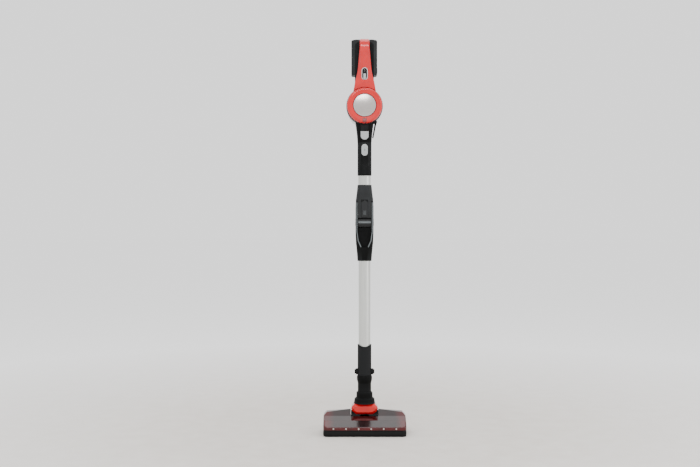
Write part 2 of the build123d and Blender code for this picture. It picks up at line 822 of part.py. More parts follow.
knee_skin = knee_form(trim_proud)
rail_half_gap = cheek_half + 1.2
with BuildPart() as flex_trim:
    with BuildSketch(front_plane(-3 * cheek_front, flex_foot + recess_foot)):
        with BuildLine() as rail_line:
            Polyline(
                (-rail_half_gap, flex_below - recess_foot + cheek_radius - 6),
                (-rail_half_gap, web_drop + 19),
                (-18.6, 20.5),
                (-9.8, 1.0),
            )
            offset(amount=trim_width, side=Side.RIGHT)
        make_face()
        mirror(about=Plane.YZ)
    extrude(amount=-2.4 * cheek_front)
    add(knee_skin, mode=Mode.INTERSECT)
    add(knee_solid, mode=Mode.SUBTRACT)
flex_trim.part.label = "flex_trim"
export_step(flex_trim.part, "parts/flex_trim.step")

with BuildPart() as flex_button:
    with BuildSketch(front_plane(-cheek_front - button_proud, pivot_z + front_gap + 29)):
        with BuildLine():
            half = flex_button_width / 2
            tall = flex_button_height / 2
            Polyline(
                (-half, -tall),
                (half, -tall),
                (half, tall - 8),
                (0, tall),
                (-half, tall - 8),
                close=True,
            )
        make_face()
    extrude(amount=-(button_proud + button_depth - button_travel - play))
    chamfer(flex_button.faces().sort_by(Axis.Y)[0].edges(), length=1)
flex_button.part.label = "flex_button"
export_step(flex_button.part, "parts/flex_button.step")

# =====================================================================================
# Upper wand
# =====================================================================================

with BuildPart() as upper_tube:
    with BuildSketch(Plane.XY.offset(flex_top - tube_grip + 1)):
        Circle(upper_tube_radius)
        Circle(upper_tube_radius - tube_wall, mode=Mode.SUBTRACT)
    extrude(amount=upper_tube_shown + 2 * tube_grip - 2)
upper_tube.part.label = "upper_tube"
export_step(upper_tube.part, "parts/upper_tube.step")

tube_button_z = wand_collar_top - tube_button_drop
with BuildPart() as tube_collar:
    with BuildSketch(Plane.XY.offset(wand_collar_z)):
        with Locations((0, collar_y)):
            RectangleRounded(wand_collar_width, wand_collar_depth, 20)
    extrude(amount=wand_collar_height - play)
    fillet(tube_collar.faces().sort_by(Axis.Z)[0].edges(), radius=3)
    with BuildSketch(Plane.XY.offset(wand_collar_z - 1)):
        Circle(upper_tube_radius + seat)
    extrude(amount=tube_grip + 2, mode=Mode.SUBTRACT)
    with BuildSketch(Plane.XY.offset(wand_collar_z)):
        Circle(airway_radius)
    extrude(amount=wand_collar_height + 1, mode=Mode.SUBTRACT)
    with BuildSketch(Plane.XY.offset(wand_collar_top - spigot_length)):
        Circle(spigot_radius + play)
    extrude(amount=spigot_length + 1, mode=Mode.SUBTRACT)
    with BuildSketch(front_plane(-wand_collar_front - 1, tube_button_z)):
        SlotOverall(tube_button_height + 2 * play, tube_button_width + 2 * play, rotation=90)
    extrude(amount=-(1 + button_depth), mode=Mode.SUBTRACT)
tube_collar.part.label = "tube_collar"
export_step(tube_collar.part, "parts/tube_collar.step")

with BuildPart() as tube_button:
    with BuildSketch(front_plane(-wand_collar_front - button_proud, tube_button_z)):
        SlotOverall(tube_button_height, tube_button_width, rotation=90)
    extrude(amount=-(button_proud + button_depth - button_travel - play))
    fillet(tube_button.faces().sort_by(Axis.Y)[0].edges(), radius=1)
tube_button.part.label = "tube_button"
export_step(tube_button.part, "parts/tube_button.step")

# =====================================================================================
# Hand unit: neck
# =====================================================================================

inlet_z = drum_z - inlet_drop
shield_z = drum_z - shield_top_drop - shield_height / 2
lever_z = drum_z - lever_top
hinge_lug_y = lever_half + play

with BuildPart() as neck_shell:
    for level, width in ((wand_collar_top, 44.0), (drum_z - 86, 48.0), (drum_z - 48, neck_top_width)):
        with BuildSketch(Plane.XY.offset(level)):
            with Locations((0, neck_y)):
                RectangleRounded(width, neck_depth, 15)
    loft(ruled=True)
    # Lugs for the lever's stubs
    for side in (-1, 1):
        with BuildSketch(front_plane(side * (hinge_lug_y + 2), lever_z)):
            with Locations((lever_x - 5, 0)):
                SlotOverall(17, 2 * lever_boss)
        extrude(amount=2, both=True)
        with BuildSketch(front_plane(side * (hinge_lug_y + 2), lever_z)):
            with Locations((lever_x, 0)):
                Circle(lever_stub + slip)
        extrude(amount=3, both=True, mode=Mode.SUBTRACT)
    with BuildSketch(front_plane(-2 * neck_depth, drum_z)):
        Circle(drum_radius + seat)
    extrude(amount=-4 * neck_depth, mode=Mode.SUBTRACT)
    # The spigot, the air way through it and out of the back
    with BuildSketch(Plane.XY.offset(wand_collar_top - spigot_length + 3)):
        Circle(spigot_radius)
    extrude(amount=spigot_length)
    with BuildSketch(Plane.XY.offset(wand_collar_top - spigot_length)):
        Circle(airway_radius)
    extrude(amount=spigot_length + 52, mode=Mode.SUBTRACT)
    with BuildSketch(front_plane(0, inlet_z)):
        Circle(inlet_radius)
    extrude(amount=-neck_depth, mode=Mode.SUBTRACT)
    with BuildSketch(front_plane(-neck_front - 5, shield_z)):
        Rectangle(shield_width + 2 * play, shield_height + 2 * play)
    extrude(amount=-(5 + button_depth), mode=Mode.SUBTRACT)
neck_shell.part.label = "neck_shell"
export_step(neck_shell.part, "parts/neck_shell.step")

with BuildPart() as container_button:
    with BuildSketch(front_plane(-neck_front - button_proud, shield_z)):
        with BuildLine():
            half = shield_width / 2
            tall = shield_height / 2
            Polyline((-half, -2), (-half, tall), (half, tall), (half, -2))
            ThreePointArc((half, -2), (0, -tall), (-half, -2))
        make_face()
    extrude(amount=-(button_proud + button_depth - button_travel - play))
    chamfer(container_button.faces().sort_by(Axis.Y)[0].edges(), length=0.8)
container_button.part.label = "container_button"
export_step(container_button.part, "parts/container_button.step")

with BuildPart() as release_lever:
    with BuildSketch(front_plane(-lever_half, lever_z)):
        with BuildLine():
            Polyline(
                (lever_x + 2.6, 1.5),
                (lever_x - 8, -lever_length),
                (lever_x - 11.5, -lever_length + 2),
                (lever_x - 4.6, -5),
                (lever_x - 2.6, 1.5),
                close=True,
            )
        make_face()
        with Locations((lever_x, 0)):
            Circle(lever_boss)
    extrude(amount=-2 * lever_half)
    with BuildSketch(front_plane(0, lever_z)):
        with Locations((lever_x, 0)):
            Circle(lever_stub)
    extrude(amount=hinge_lug_y + 3, both=True)
release_lever.part.label = "release_lever"
export_step(release_lever.part, "parts/release_lever.step")

# =====================================================================================
# Hand unit: drum
# =====================================================================================

with BuildPart() as motor_housing:
    with BuildSketch(drum_plane):
        with BuildLine():
            Polyline(
                (-drum_front, drum_radius - shell_wall - 3),
                (-drum_front, drum_radius - 1),
                (-drum_front + 1, drum_radius),
                (drum_back, drum_radius),
                (drum_back, eye_radius),
                (drum_back - shell_wall, eye_radius),
                (drum_back - shell_wall, drum_radius - shell_wall),
                (-drum_front + 3, drum_radius - shell_wall),
                close=True,
            )
        make_face()
    revolve(axis=drum_axis)
    with BuildSketch(front_plane(-drum_front - 1, drum_z)):
        for side in (0, 180):
            with PolarLocations(drum_radius - 1, slot_count, start_angle=side - 24, angular_range=48):
                Rectangle(8, 2.2)
    extrude(amount=-(drum_front - 4), mode=Mode.SUBTRACT)
motor_housing.part.label = "motor_housing"
export_step(motor_housing.part, "parts/motor_housing.step")

ring_foot = -drum_front - seat
ring_face = -drum_front - ring_depth


def ring_profile(filled):
    """The front ring turned about the drum's axis: a shell, or filled to its inside."""
    with BuildPart() as ring:
        with BuildSketch(drum_plane):
            with BuildLine():
                Line((ring_foot, ring_radius), (ring_face + 9, ring_radius))
                ThreePointArc(
                    (ring_face + 9, ring_radius),
                    (ring_face + 3, ring_radius - 2.2),
                    (ring_face + 0.5, ring_radius - 7),
                )
                Line((ring_face + 0.5, ring_radius - 7), (ring_face + 1.6, ring_inner))
                Line((ring_face + 1.6, ring_inner), (ring_face + 5, ring_inner))
                if filled:
                    Line((ring_face + 5, ring_inner), (ring_foot, ring_inner))
                    Line((ring_foot, ring_inner), (ring_foot, ring_radius))
                else:
                    Polyline(
                        (ring_face + 5, ring_inner),
                        (ring_face + 5, 12),
                        (ring_face + 7, 12),
                        (ring_face + 7, ring_radius - 7),
                        (ring_face + 11, ring_radius - shell_wall),
                        (ring_foot, ring_radius - shell_wall),
                        (ring_foot, ring_radius),
                    )
            make_face()
        revolve(axis=drum_axis)
    return ring.part


tab_plane = front_plane(ring_face - 1, drum_z - (ring_inner + ring_radius) / 2 - 1)
with BuildPart() as red_ring:
    add(ring_profile(False))
    with BuildSketch(tab_plane):
        Rectangle(tab_width + 2 * play, tab_height + 2 * play)
    extrude(amount=-6, mode=Mode.SUBTRACT)
red_ring.part.label = "red_ring"
export_step(red_ring.part, "parts/red_ring.step")

with BuildPart() as ring_tab:
    add(ring_profile(True))
    with BuildSketch(tab_plane):
        Rectangle(tab_width, tab_height)
    extrude(amount=-6, mode=Mode.INTERSECT)
ring_tab.part.label = "ring_tab"
export_step(ring_tab.part, "parts/ring_tab.step")

disc_back = ring_face + 5 - seat
with BuildPart() as disc_cap:
    with BuildSketch(front_plane(disc_back, drum_z)):
        Circle(disc_radius)
    extrude(amount=disc_edge + disc_crown)
    # A large ball leaves the shallow dome
    dome_radius = (disc_radius ** 2 + disc_crown ** 2) / (2 * disc_crown)
    with Locations((0, disc_back - disc_edge - disc_crown + dome_radius, drum_z)):
        Sphere(dome_radius, mode=Mode.INTERSECT)
    fillet(disc_cap.faces().sort_by(Axis.Y)[0].edges(), radius=0.6)
disc_cap.part.label = "disc_cap"
export_step(disc_cap.part, "parts/disc_cap.step")

with BuildPart() as exhaust_filter:
    with BuildSketch(front_plane(ring_face + 9, drum_z)):
        Circle(ring_radius - 9)
        Circle(motor_radius, mode=Mode.SUBTRACT)
    extrude(amount=-foam_depth)
exhaust_filter.part.label = "exhaust_filter"
export_step(exhaust_filter.part, "parts/exhaust_filter.step")

motor_front = -drum_front - 3
with BuildPart() as motor_can:
    with BuildSketch(front_plane(motor_front, drum_z)):
        Circle(motor_radius)
    extrude(amount=-motor_length)
    fillet(motor_can.edges().filter_by(GeomType.CIRCLE), radius=2)
    with BuildSketch(front_plane(-drum_front + 6, drum_z)):
        Circle(drum_radius - shell_wall - seat)
    extrude(amount=-3)
    with BuildSketch(front_plane(-drum_front + 5, drum_z)):
        with PolarLocations((motor_radius + drum_radius) / 2, 8):
            SlotOverall(17, 9, rotation=90)
    extrude(amount=-6, mode=Mode.SUBTRACT)
    with BuildSketch(front_plane(motor_front - 1, drum_z)):
        Circle(shaft_radius + slip)
    extrude(amount=-motor_length - 2, mode=Mode.SUBTRACT)
motor_can.part.label = "motor_can"
export_step(motor_can.part, "parts/motor_can.step")

with BuildPart() as motor_shaft:
    with BuildSketch(front_plane(motor_front + 1, drum_z)):
        Circle(shaft_radius)
    extrude(amount=-(motor_length + impeller_depth))
motor_shaft.part.label = "motor_shaft"
export_step(motor_shaft.part, "parts/motor_shaft.step")

impeller_front = motor_front + motor_length + 1.5
with BuildPart() as impeller:
    with BuildSketch(front_plane(impeller_front, drum_z)):
        Circle(impeller_radius)
    extrude(amount=-1.6)
    with BuildSketch(front_plane(impeller_front + 1.6, drum_z)):
        Circle(7)
        with PolarLocations(impeller_radius / 2 + 2, blade_count):
            Rectangle(impeller_radius - 6, 1.4, rotation=25)
    extrude(amount=-(impeller_depth - 1.6))
    with BuildSketch(front_plane(impeller_front - 1, drum_z)):
        Circle(shaft_radius + seat / 2)
    extrude(amount=-(impeller_depth + 2), mode=Mode.SUBTRACT)
impeller.part.label = "impeller"
export_step(impeller.part, "parts/impeller.step")

# =====================================================================================
# Hand unit: handle
# =====================================================================================

strip_half = strip_width / 2
body_half = body_width / 2


def spine_block(front, back, inset):
    """The handle's form between two depths, drawn in by inset and round over its top front."""
    right = (
        (body_half + 3, 44),
        (body_half, 60),
        (body_half - 3.5, 78),
        (strip_half + 11, 89),
        (strip_half + 7.5, 104),
        (strip_half + 5, 124),
        (strip_half + 3, 148),
        (strip_half, 180),
        (strip_half, drum_to_top),
    )
    right = [(x - inset, z) for x, z in right[:-1]] + [(strip_half - inset, drum_to_top - inset)]
    left = [(-x, z) for x, z in reversed(right)]
    with BuildPart() as block:
        with BuildSketch(front_plane(front + inset, drum_z)):
            with BuildLine():
                Spline(*right[:-1])
                Polyline(right[-2], right[-1], left[0], left[1])
                Spline(*left[1:])
                Line(left[-1], right[0])
            make_face()
        extrude(amount=-(back - front - inset))
        face = block.faces().sort_by(Axis.Y)[0]
        fillet(face.edges().sort_by(Axis.Z)[-1], radius=top_round - inset)
    return block.part


dock_front = loop_gap - grip_back
dock_back = dock_front + dock_thickness
loop_foot_z = drum_z + loop_foot
loop_top_z = top_z - loop_top_thickness
switch_z = top_z - switch_z_drop

with BuildPart() as red_spine:
    add(spine_block(-spine_front, dock_back - 4, 0))
    chamfer(red_spine.faces().sort_by(Axis.Y)[0].edges(), length=2.5)
    with BuildSketch(side_plane(0)):
        with Locations((-spine_split + 100, top_z - roof - 200)):
            Rectangle(200, 400)
    extrude(amount=body_width, both=True, mode=Mode.SUBTRACT)
    # Hollow in front of the grip and under the roof
    add(spine_block(-spine_front, dock_back, shell_wall), mode=Mode.SUBTRACT)
    # Seated on the drum, and in front of it on the ring
    with BuildSketch(front_plane(-drum_front - ring_depth, drum_z)):
        Circle(drum_radius + seat)
    extrude(amount=-3 * drum_front, mode=Mode.SUBTRACT)
    with BuildSketch(front_plane(-spine_front - 1, switch_z)):
        SlotOverall(switch_height + 2 * seat, switch_width + 2 * seat, rotation=90)
    extrude(amount=-(shell_wall + 3), mode=Mode.SUBTRACT)
red_spine.part.label = "red_spine"
export_step(red_spine.part, "parts/red_spine.step")

switch_floor = -spine_front + 3.4
with BuildPart() as switch_bezel:
    with BuildSketch(front_plane(-spine_front - 0.9, switch_z)):
        SlotOverall(switch_height, switch_width, rotation=90)
        SlotOverall(
            switch_height - 2 * switch_rim, switch_width - 2 * switch_rim, rotation=90, mode=Mode.SUBTRACT
        )
    extrude(amount=-(0.9 + 3.4))
    chamfer(switch_bezel.faces().sort_by(Axis.Y)[0].edges(), length=0.6)
switch_bezel.part.label = "switch_bezel"
export_step(switch_bezel.part, "parts/switch_bezel.step")

with BuildPart() as switch_plate:
    with BuildSketch(front_plane(switch_floor, switch_z)):
        SlotOverall(switch_height, switch_width, rotation=90)
    extrude(amount=-1.5)
switch_plate.part.label = "switch_plate"
export_step(switch_plate.part, "parts/switch_plate.step")

slider_z = switch_z - slider_travel / 2
with BuildPart() as power_slider:
    with BuildSketch(front_plane(-spine_front - 1.6, slider_z)):
        RectangleRounded(slider_width, slider_height, 2.5)
    extrude(amount=-(1.6 + 3.4 - play))
    fillet(power_slider.faces().sort_by(Axis.Y)[0].edges(), radius=0.8)
    # Finger ribs
    with BuildSketch(front_plane(-spine_front - 1.6, slider_z)):
        with GridLocations(0, 3, 1, 4):
            Rectangle(slider_width - 2, 1)
    extrude(amount=-0.5, mode=Mode.SUBTRACT)
power_slider.part.label = "power_slider"
export_step(power_slider.part, "parts/power_slider.step")

with BuildPart() as control_board:
    with BuildSketch(front_plane(switch_floor + 2.5, switch_z - 2)):
        Rectangle(24, 62)
    extrude(amount=-1.6)
    with BuildSketch(front_plane(switch_floor + 4.1, switch_z - 2)):
        with GridLocations(11, 14, 2, 4):
            Rectangle(6, 6)
    extrude(amount=-2.5)
control_board.part.label = "control_board"
export_step(control_board.part, "parts/control_board.step")

grip_front = -spine_split + seat
roof_z = top_z - roof - seat
with BuildPart() as grip:
    # The hand's side of the grip
    add(spine_block(-spine_front, -grip_back, 0.4))
    with BuildSketch(Plane.XY.offset(roof_z)):
        Rectangle(200, 300)
    extrude(amount=30, mode=Mode.SUBTRACT)
    chamfer(grip.faces().sort_by(Axis.Y)[-1].edges(), length=4)
    with BuildSketch(side_plane(0)):
        with Locations((-100 + grip_front, drum_z + 100)):
            Rectangle(200, 400)
    extrude(amount=body_width, both=True, mode=Mode.SUBTRACT)
    # Top and foot of the loop
    with BuildSketch(side_plane(0)):
        with Locations(((grip_front + dock_back) / 2, (loop_top_z + roof_z) / 2)):
            Rectangle(dock_back - grip_front, roof_z - loop_top_z)
        with Locations(((grip_front + dock_back) / 2, loop_foot_z + loop_foot_thickness / 2)):
            Rectangle(dock_back - grip_front, loop_foot_thickness)
    extrude(amount=strip_half - 0.6, both=True)
    # The plate that carries the battery
    with BuildSketch(front_plane(dock_front, (loop_foot_z + roof_z) / 2)):
        RectangleRounded(2 * dock_half, roof_z - loop_foot_z, 6)
    extrude(amount=-dock_thickness)
    with BuildSketch(front_plane(-drum_front - ring_depth, drum_z)):
        Circle(drum_radius + seat)
    extrude(amount=-3 * drum_front, mode=Mode.SUBTRACT)
grip.part.label = "grip"
export_step(grip.part, "parts/grip.step")

battery_front = dock_back + play
battery_top = top_z + battery_proud
battery_foot = battery_top - battery_height
rail_foot = battery_foot + 10
with BuildPart() as battery_rails:
    with BuildSketch(Plane.XY.offset(rail_foot)):
        with Locations((0, dock_back + rail_height / 2)):
            with GridLocations(2 * rail_half, 0, 2, 1):
                Rectangle(rail_width, rail_height)
        with Locations((0, dock_back + rail_height - 1)):
            with GridLocations(2 * rail_half, 0, 2, 1):
                Rectangle(rail_width + 3, 2)
    extrude(amount=battery_height - 26)
battery_rails.part.label = "battery_rails"
export_step(battery_rails.part, "parts/battery_rails.step")

latch_y = battery_front + battery_chamfer + 14
latch_z = battery_foot + 16
cells_y = battery_front + battery_depth / 2 + rail_height / 2 - 1
with BuildPart() as battery_shell:
    with BuildSketch(Plane.XY.offset(battery_foot)):
        with BuildLine():
            Polyline(
                (-battery_half, battery_front + battery_chamfer),
                (-battery_half + battery_chamfer, battery_front),
                (battery_half - battery_chamfer, battery_front),
                (battery_half, battery_front + battery_chamfer),
                (battery_half, battery_front + battery_depth),
                (-battery_half, battery_front + battery_depth),
                close=True,
            )
        make_face()
    extrude(amount=battery_height)
    fillet(battery_shell.edges().filter_by(Axis.Z), radius=6)
    fillet(battery_shell.faces().sort_by(Axis.Z)[-1].edges(), radius=5.5)
    fillet(battery_shell.faces().sort_by(Axis.Z)[0].edges(), radius=5)
    # Room for the cells
    with BuildSketch(Plane.XY.offset(battery_foot + battery_wall + 1)):
        with Locations((0, cells_y)):
            RectangleRounded(cell_length + 2, 2 * cell_pitch + 1, 2)
    extrude(amount=battery_height - 2 * battery_wall - 2, mode=Mode.SUBTRACT)
    # Grooves for the rails, open at the foot
    with BuildSketch(Plane.XY.offset(battery_foot - 1)):
        with Locations((0, battery_front + rail_height / 2)):
            with GridLocations(2 * rail_half, 0, 2, 1):
                Rectangle(rail_width + 3 + 2 * play, rail_height + 2 * play)
    extrude(amount=battery_height - 10, mode=Mode.SUBTRACT)
    with BuildSketch(side_plane(battery_half + 1, latch_z)):
        with Locations((latch_y, 0)):
            RectangleRounded(latch_width + 2 * play, latch_height + 2 * play, 2)
    extrude(amount=-3.9, mode=Mode.SUBTRACT)
    # Charging socket in the back, near the foot
    with BuildSketch(front_plane(battery_front + battery_depth, battery_foot + 14)):
        Circle(socket_radius + 2.2)
    extrude(amount=2 * battery_wall + 4, mode=Mode.SUBTRACT)
battery_shell.part.label = "battery_shell"
export_step(battery_shell.part, "parts/battery_shell.step")

with BuildPart() as charge_socket:
    with BuildSketch(front_plane(battery_front + battery_depth, battery_foot + 14)):
        Circle(socket_radius + 2)
        Circle(socket_radius, mode=Mode.SUBTRACT)
    extrude(amount=socket_depth)
    with BuildSketch(front_plane(battery_front + battery_depth - socket_depth, battery_foot + 14)):
        Circle(socket_radius + 2)
    extrude(amount=1)
charge_socket.part.label = "charge_socket"
export_step(charge_socket.part, "parts/charge_socket.step")

with BuildPart() as battery_latch:
    with BuildSketch(side_plane(battery_half + 0.7, latch_z)):
        with Locations((latch_y, 0)):
            RectangleRounded(latch_width, latch_height, 2)
    extrude(amount=-1.7)
    fillet(battery_latch.faces().sort_by(Axis.X)[-1].edges(), radius=0.6)
battery_latch.part.label = "battery_latch"
export_step(battery_latch.part, "parts/battery_latch.step")

with BuildPart() as battery_cells:
    with BuildSketch(side_plane(-cell_length / 2, battery_foot + battery_height / 2 + 2)):
        with Locations((cells_y, 0)):
            with GridLocations(cell_pitch, cell_pitch, 2, 5):
                Circle(cell_radius)
    extrude(amount=cell_length)
battery_cells.part.label = "battery_cells"
export_step(battery_cells.part, "parts/battery_cells.step")

# =====================================================================================
# Dust container
# =====================================================================================

bin_front = drum_back + bin_gap
shell_front = bin_front + bin_collar
bin_end = shell_front + bin_length
hinge_y = bin_end + lid_thickness / 2
hinge_z = drum_z - bin_radius - hinge_drop
boss_half = inlet_radius + 4
boss_front = neck_y + neck_depth / 2 + play

with BuildPart() as container_collar:
    with BuildSketch(front_plane(bin_front, drum_z)):
        Circle(bin_radius + 1)
    extrude(amount=-bin_collar)
    # The inlet's boss hangs below and meets the outlet at the back of the neck
    with BuildSketch(front_plane(boss_front, inlet_z + 6)):
        RectangleRounded(2 * boss_half, 2 * boss_half + 12, 6)
    extrude(amount=-22)
    with BuildSketch(front_plane(bin_front + 3, drum_z)):
        Circle(bin_radius - bin_wall)
    extrude(amount=-60, mode=Mode.SUBTRACT)
    with BuildSketch(front_plane(shell_front, drum_z)):
        Circle(bin_radius + 1.1)
    extrude(amount=-60, mode=Mode.SUBTRACT)
    with BuildSketch(front_plane(bin_front - 1, drum_z)):
        Circle(eye_radius + 2)
    extrude(amount=-8, mode=Mode.SUBTRACT)
    with BuildSketch(front_plane(boss_front - 1, inlet_z)):
        Circle(inlet_radius)
    extrude(amount=-17, mode=Mode.SUBTRACT)
    with BuildSketch(Plane.XY.offset(inlet_z)):
        with Locations((0, (boss_front + shell_front) / 2 + 0.5)):
            Rectangle(2 * inlet_radius - 4, shell_front - boss_front - 3)
    extrude(amount=bin_radius / 2, mode=Mode.SUBTRACT)
container_collar.part.label = "container_collar"
export_step(container_collar.part, "parts/container_collar.step")

with BuildPart() as dust_container:
    with BuildSketch(front_plane(shell_front, drum_z)):
        Circle(bin_radius)
        Circle(bin_radius - bin_wall, mode=Mode.SUBTRACT)
    extrude(amount=-bin_length)
    for side in (-1, 1):
        with BuildSketch(side_plane(side * (hinge_half + play), hinge_z)):
            with Locations((hinge_y, 0)):
                Circle(hinge_radius)
            with Locations((hinge_y - 6, hinge_drop / 2 + 1)):
                Rectangle(12, hinge_drop + 2)
        extrude(amount=side * hinge_lug)
    with BuildSketch(front_plane(bin_end + 0.3, drum_z)):
        Circle(bin_radius - bin_wall)
    extrude(amount=bin_length + 1, mode=Mode.SUBTRACT)
    with BuildSketch(front_plane(bin_end, drum_z)):
        Circle(bin_radius + 0.4)
    extrude(amount=-30, mode=Mode.SUBTRACT)
    with BuildSketch(side_plane(0, hinge_z)):
        with Locations((hinge_y, 0)):
            Circle(hinge_pin_radius + seat / 2)
    extrude(amount=hinge_half + hinge_lug + 2, both=True, mode=Mode.SUBTRACT)
dust_container.part.label = "dust_container"
export_step(dust_container.part, "parts/dust_container.step")

with BuildPart() as container_lid:
    with BuildSketch(front_plane(bin_end + play, drum_z)):
        Circle(bin_radius)
    extrude(amount=-lid_thickness)
    fillet(container_lid.faces().sort_by(Axis.Y)[-1].edges(), radius=3)
    with BuildSketch(side_plane(-hinge_half, hinge_z)):
        with Locations((hinge_y, 0)):
            Circle(hinge_radius)
        with Locations((hinge_y + 0.8, hinge_drop / 2 + 1)):
            Rectangle(4.4, hinge_drop + 3)
    extrude(amount=2 * hinge_half)
    with BuildSketch(side_plane(0, hinge_z)):
        with Locations((hinge_y, 0)):
            Circle(hinge_pin_radius + slip)
    extrude(amount=hinge_half + 1, both=True, mode=Mode.SUBTRACT)
container_lid.part.label = "container_lid"
export_step(container_lid.part, "parts/container_lid.step")

with BuildPart() as lid_pin:
    with BuildSketch(side_plane(0, hinge_z)):
        with Locations((hinge_y, 0)):
            Circle(hinge_pin_radius)
    extrude(amount=hinge_half + play + hinge_lug, both=True)
lid_pin.part.label = "lid_pin"
export_step(lid_pin.part, "parts/lid_pin.step")

with BuildPart() as container_seal:
    with BuildSketch(front_plane(shell_front - 6, drum_z)):
        Circle(bin_radius - bin_wall - seat)
        Circle(bin_radius - bin_wall - 3, mode=Mode.SUBTRACT)
    extrude(amount=-5.5)
container_seal.part.label = "container_seal"
export_step(container_seal.part, "parts/container_seal.step")

with BuildPart() as filter_core:
    with BuildSketch(front_plane(bin_front + 3 + seat, drum_z)):
        Circle(filter_radius)
        Circle(filter_radius - 2, mode=Mode.SUBTRACT)
    extrude(amount=-filter_length)
    with BuildSketch(front_plane(bin_front + 3 + seat + filter_length, drum_z)):
        Circle(filter_radius)
    extrude(amount=-3)
    with BuildSketch(front_plane(bin_front + 10, drum_z)):
        with PolarLocations(filter_radius - 1, 12):
            Rectangle(8, 6)
    extrude(amount=-filter_length + 14, mode=Mode.SUBTRACT)
filter_core.part.label = "filter_core"
export_step(filter_core.part, "parts/filter_core.step")

with BuildPart() as filter_pleats:
    with BuildSketch(front_plane(bin_front + 5, drum_z)):
        Circle(pleat_radius - pleat_depth)
        with PolarLocations(pleat_radius - pleat_depth / 2 - 0.5, pleat_count):
            Rectangle(pleat_depth + 1, 2.2)
        Circle(pleat_radius - pleat_depth - 3, mode=Mode.SUBTRACT)
    extrude(amount=-filter_length + 4)
filter_pleats.part.label = "filter_pleats"
export_step(filter_pleats.part, "parts/filter_pleats.step")
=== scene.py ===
"""Looks of a cordless stick vacuum, laid out as a Blender add-on and run as a script.

The CAD model is the frame: every piece here takes its place from it and rides on one of its
bodies. Metres, X to the right, Y to the back, Z up; the front of the machine faces -Y.
"""
import json
import math
import random

import bmesh
import bpy
from bpy.props import FloatProperty, FloatVectorProperty, IntProperty, PointerProperty, StringProperty
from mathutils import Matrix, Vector
from mathutils.bvhtree import BVHTree


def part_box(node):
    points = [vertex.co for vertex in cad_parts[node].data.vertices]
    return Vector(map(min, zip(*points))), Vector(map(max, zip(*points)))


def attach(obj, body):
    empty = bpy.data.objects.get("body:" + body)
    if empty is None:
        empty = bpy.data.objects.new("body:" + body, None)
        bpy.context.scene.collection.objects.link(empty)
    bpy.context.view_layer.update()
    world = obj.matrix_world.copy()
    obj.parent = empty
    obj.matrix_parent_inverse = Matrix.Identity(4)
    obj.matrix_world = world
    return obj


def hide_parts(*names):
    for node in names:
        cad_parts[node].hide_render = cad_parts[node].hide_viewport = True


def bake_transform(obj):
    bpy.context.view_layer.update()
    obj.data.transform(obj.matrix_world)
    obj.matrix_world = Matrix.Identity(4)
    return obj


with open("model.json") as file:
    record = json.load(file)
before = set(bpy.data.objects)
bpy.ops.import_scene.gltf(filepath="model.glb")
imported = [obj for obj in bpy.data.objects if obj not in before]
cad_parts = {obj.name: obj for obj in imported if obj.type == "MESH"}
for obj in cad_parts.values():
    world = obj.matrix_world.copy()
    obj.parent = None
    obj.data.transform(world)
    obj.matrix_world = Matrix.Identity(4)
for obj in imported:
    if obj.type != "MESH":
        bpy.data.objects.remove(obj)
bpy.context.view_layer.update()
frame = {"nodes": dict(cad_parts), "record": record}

bl_info = {
    "name": "Cordless stick vacuum",
    "version": (1, 0, 0),
    "blender": (4, 5, 0),
    "location": "View3D > Sidebar > Vacuum",
    "description": "Finishes and fine pieces of a cordless stick vacuum round its CAD model",
    "category": "Object",
}

MM = 0.001
NODES = frame["nodes"]
ROOT = "hand_unit"
WHEEL_X = 68.0 * MM  # middle of each wheel, out from the middle of the machine


# ---- Measures taken from the frame -------------------------------------------------------

def middle(node):
    """The middle of a CAD node's box."""
    low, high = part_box(node)
    return (Vector(low) + Vector(high)) / 2


def extent(node):
    """The size of a CAD node's box."""
    low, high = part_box(node)
    return Vector(high) - Vector(low)


# ---- Colours and nodes -------------------------------------------------------------------

def linear(colour):
    """An sRGB hex colour as linear RGBA."""
    parts = [int(colour[i:i + 2], 16) / 255 for i in (1, 3, 5)]
    return [c / 12.92 if c <= 0.04045 else ((c + 0.055) / 1.055) ** 2.4 for c in parts] + [1.0]


def add_node(tree, kind, inputs=None, **settings):
    """Add one node, set its properties, and give its inputs a value or a link."""
    made = tree.nodes.new(kind)
    for name, value in settings.items():
        setattr(made, name, value)
    for name, value in (inputs or {}).items():
        socket = made.inputs[name]
        if isinstance(value, bpy.types.NodeSocket):
            tree.links.new(value, socket)
        else:
            socket.default_value = value
    return made


def start_material(name, **values):
    """A material with its shader's constant values set. Returns it, its tree and the shader."""
    material = bpy.data.materials.new(name)
    material.use_nodes = True
    tree = material.node_tree
    shader = tree.nodes["Principled BSDF"]
    for label, value in values.items():
        shader.inputs[label.replace("_", " ")].default_value = value
    return material, tree, shader


def object_noise(tree, feature_mm, detail=2.0, stretch=(1, 1, 1), roughness=0.5):
    """Noise whose features are feature_mm across, fixed to the piece."""
    place = add_node(tree, "ShaderNodeTexCoord")
    scale = [s / (feature_mm * MM) for s in stretch]
    mapping = add_node(tree, "ShaderNodeMapping", {"Vector": place.outputs["Object"], "Scale": scale})
    return add_node(tree, "ShaderNodeTexNoise", {
        "Vector": mapping.outputs["Vector"], "Scale": 1.0, "Detail": detail, "Roughness": roughness,
    }).outputs["Fac"]


def tint(tree, fac, low, high, span=(0.3, 0.7)):
    """A colour that runs from low to high as fac runs over span."""
    ramp = add_node(tree, "ShaderNodeValToRGB", {"Fac": fac})
    ramp.color_ramp.elements[0].position = span[0]
    ramp.color_ramp.elements[1].position = span[1]
    ramp.color_ramp.elements[0].color = linear(low)
    ramp.color_ramp.elements[1].color = linear(high)
    return ramp.outputs["Color"]


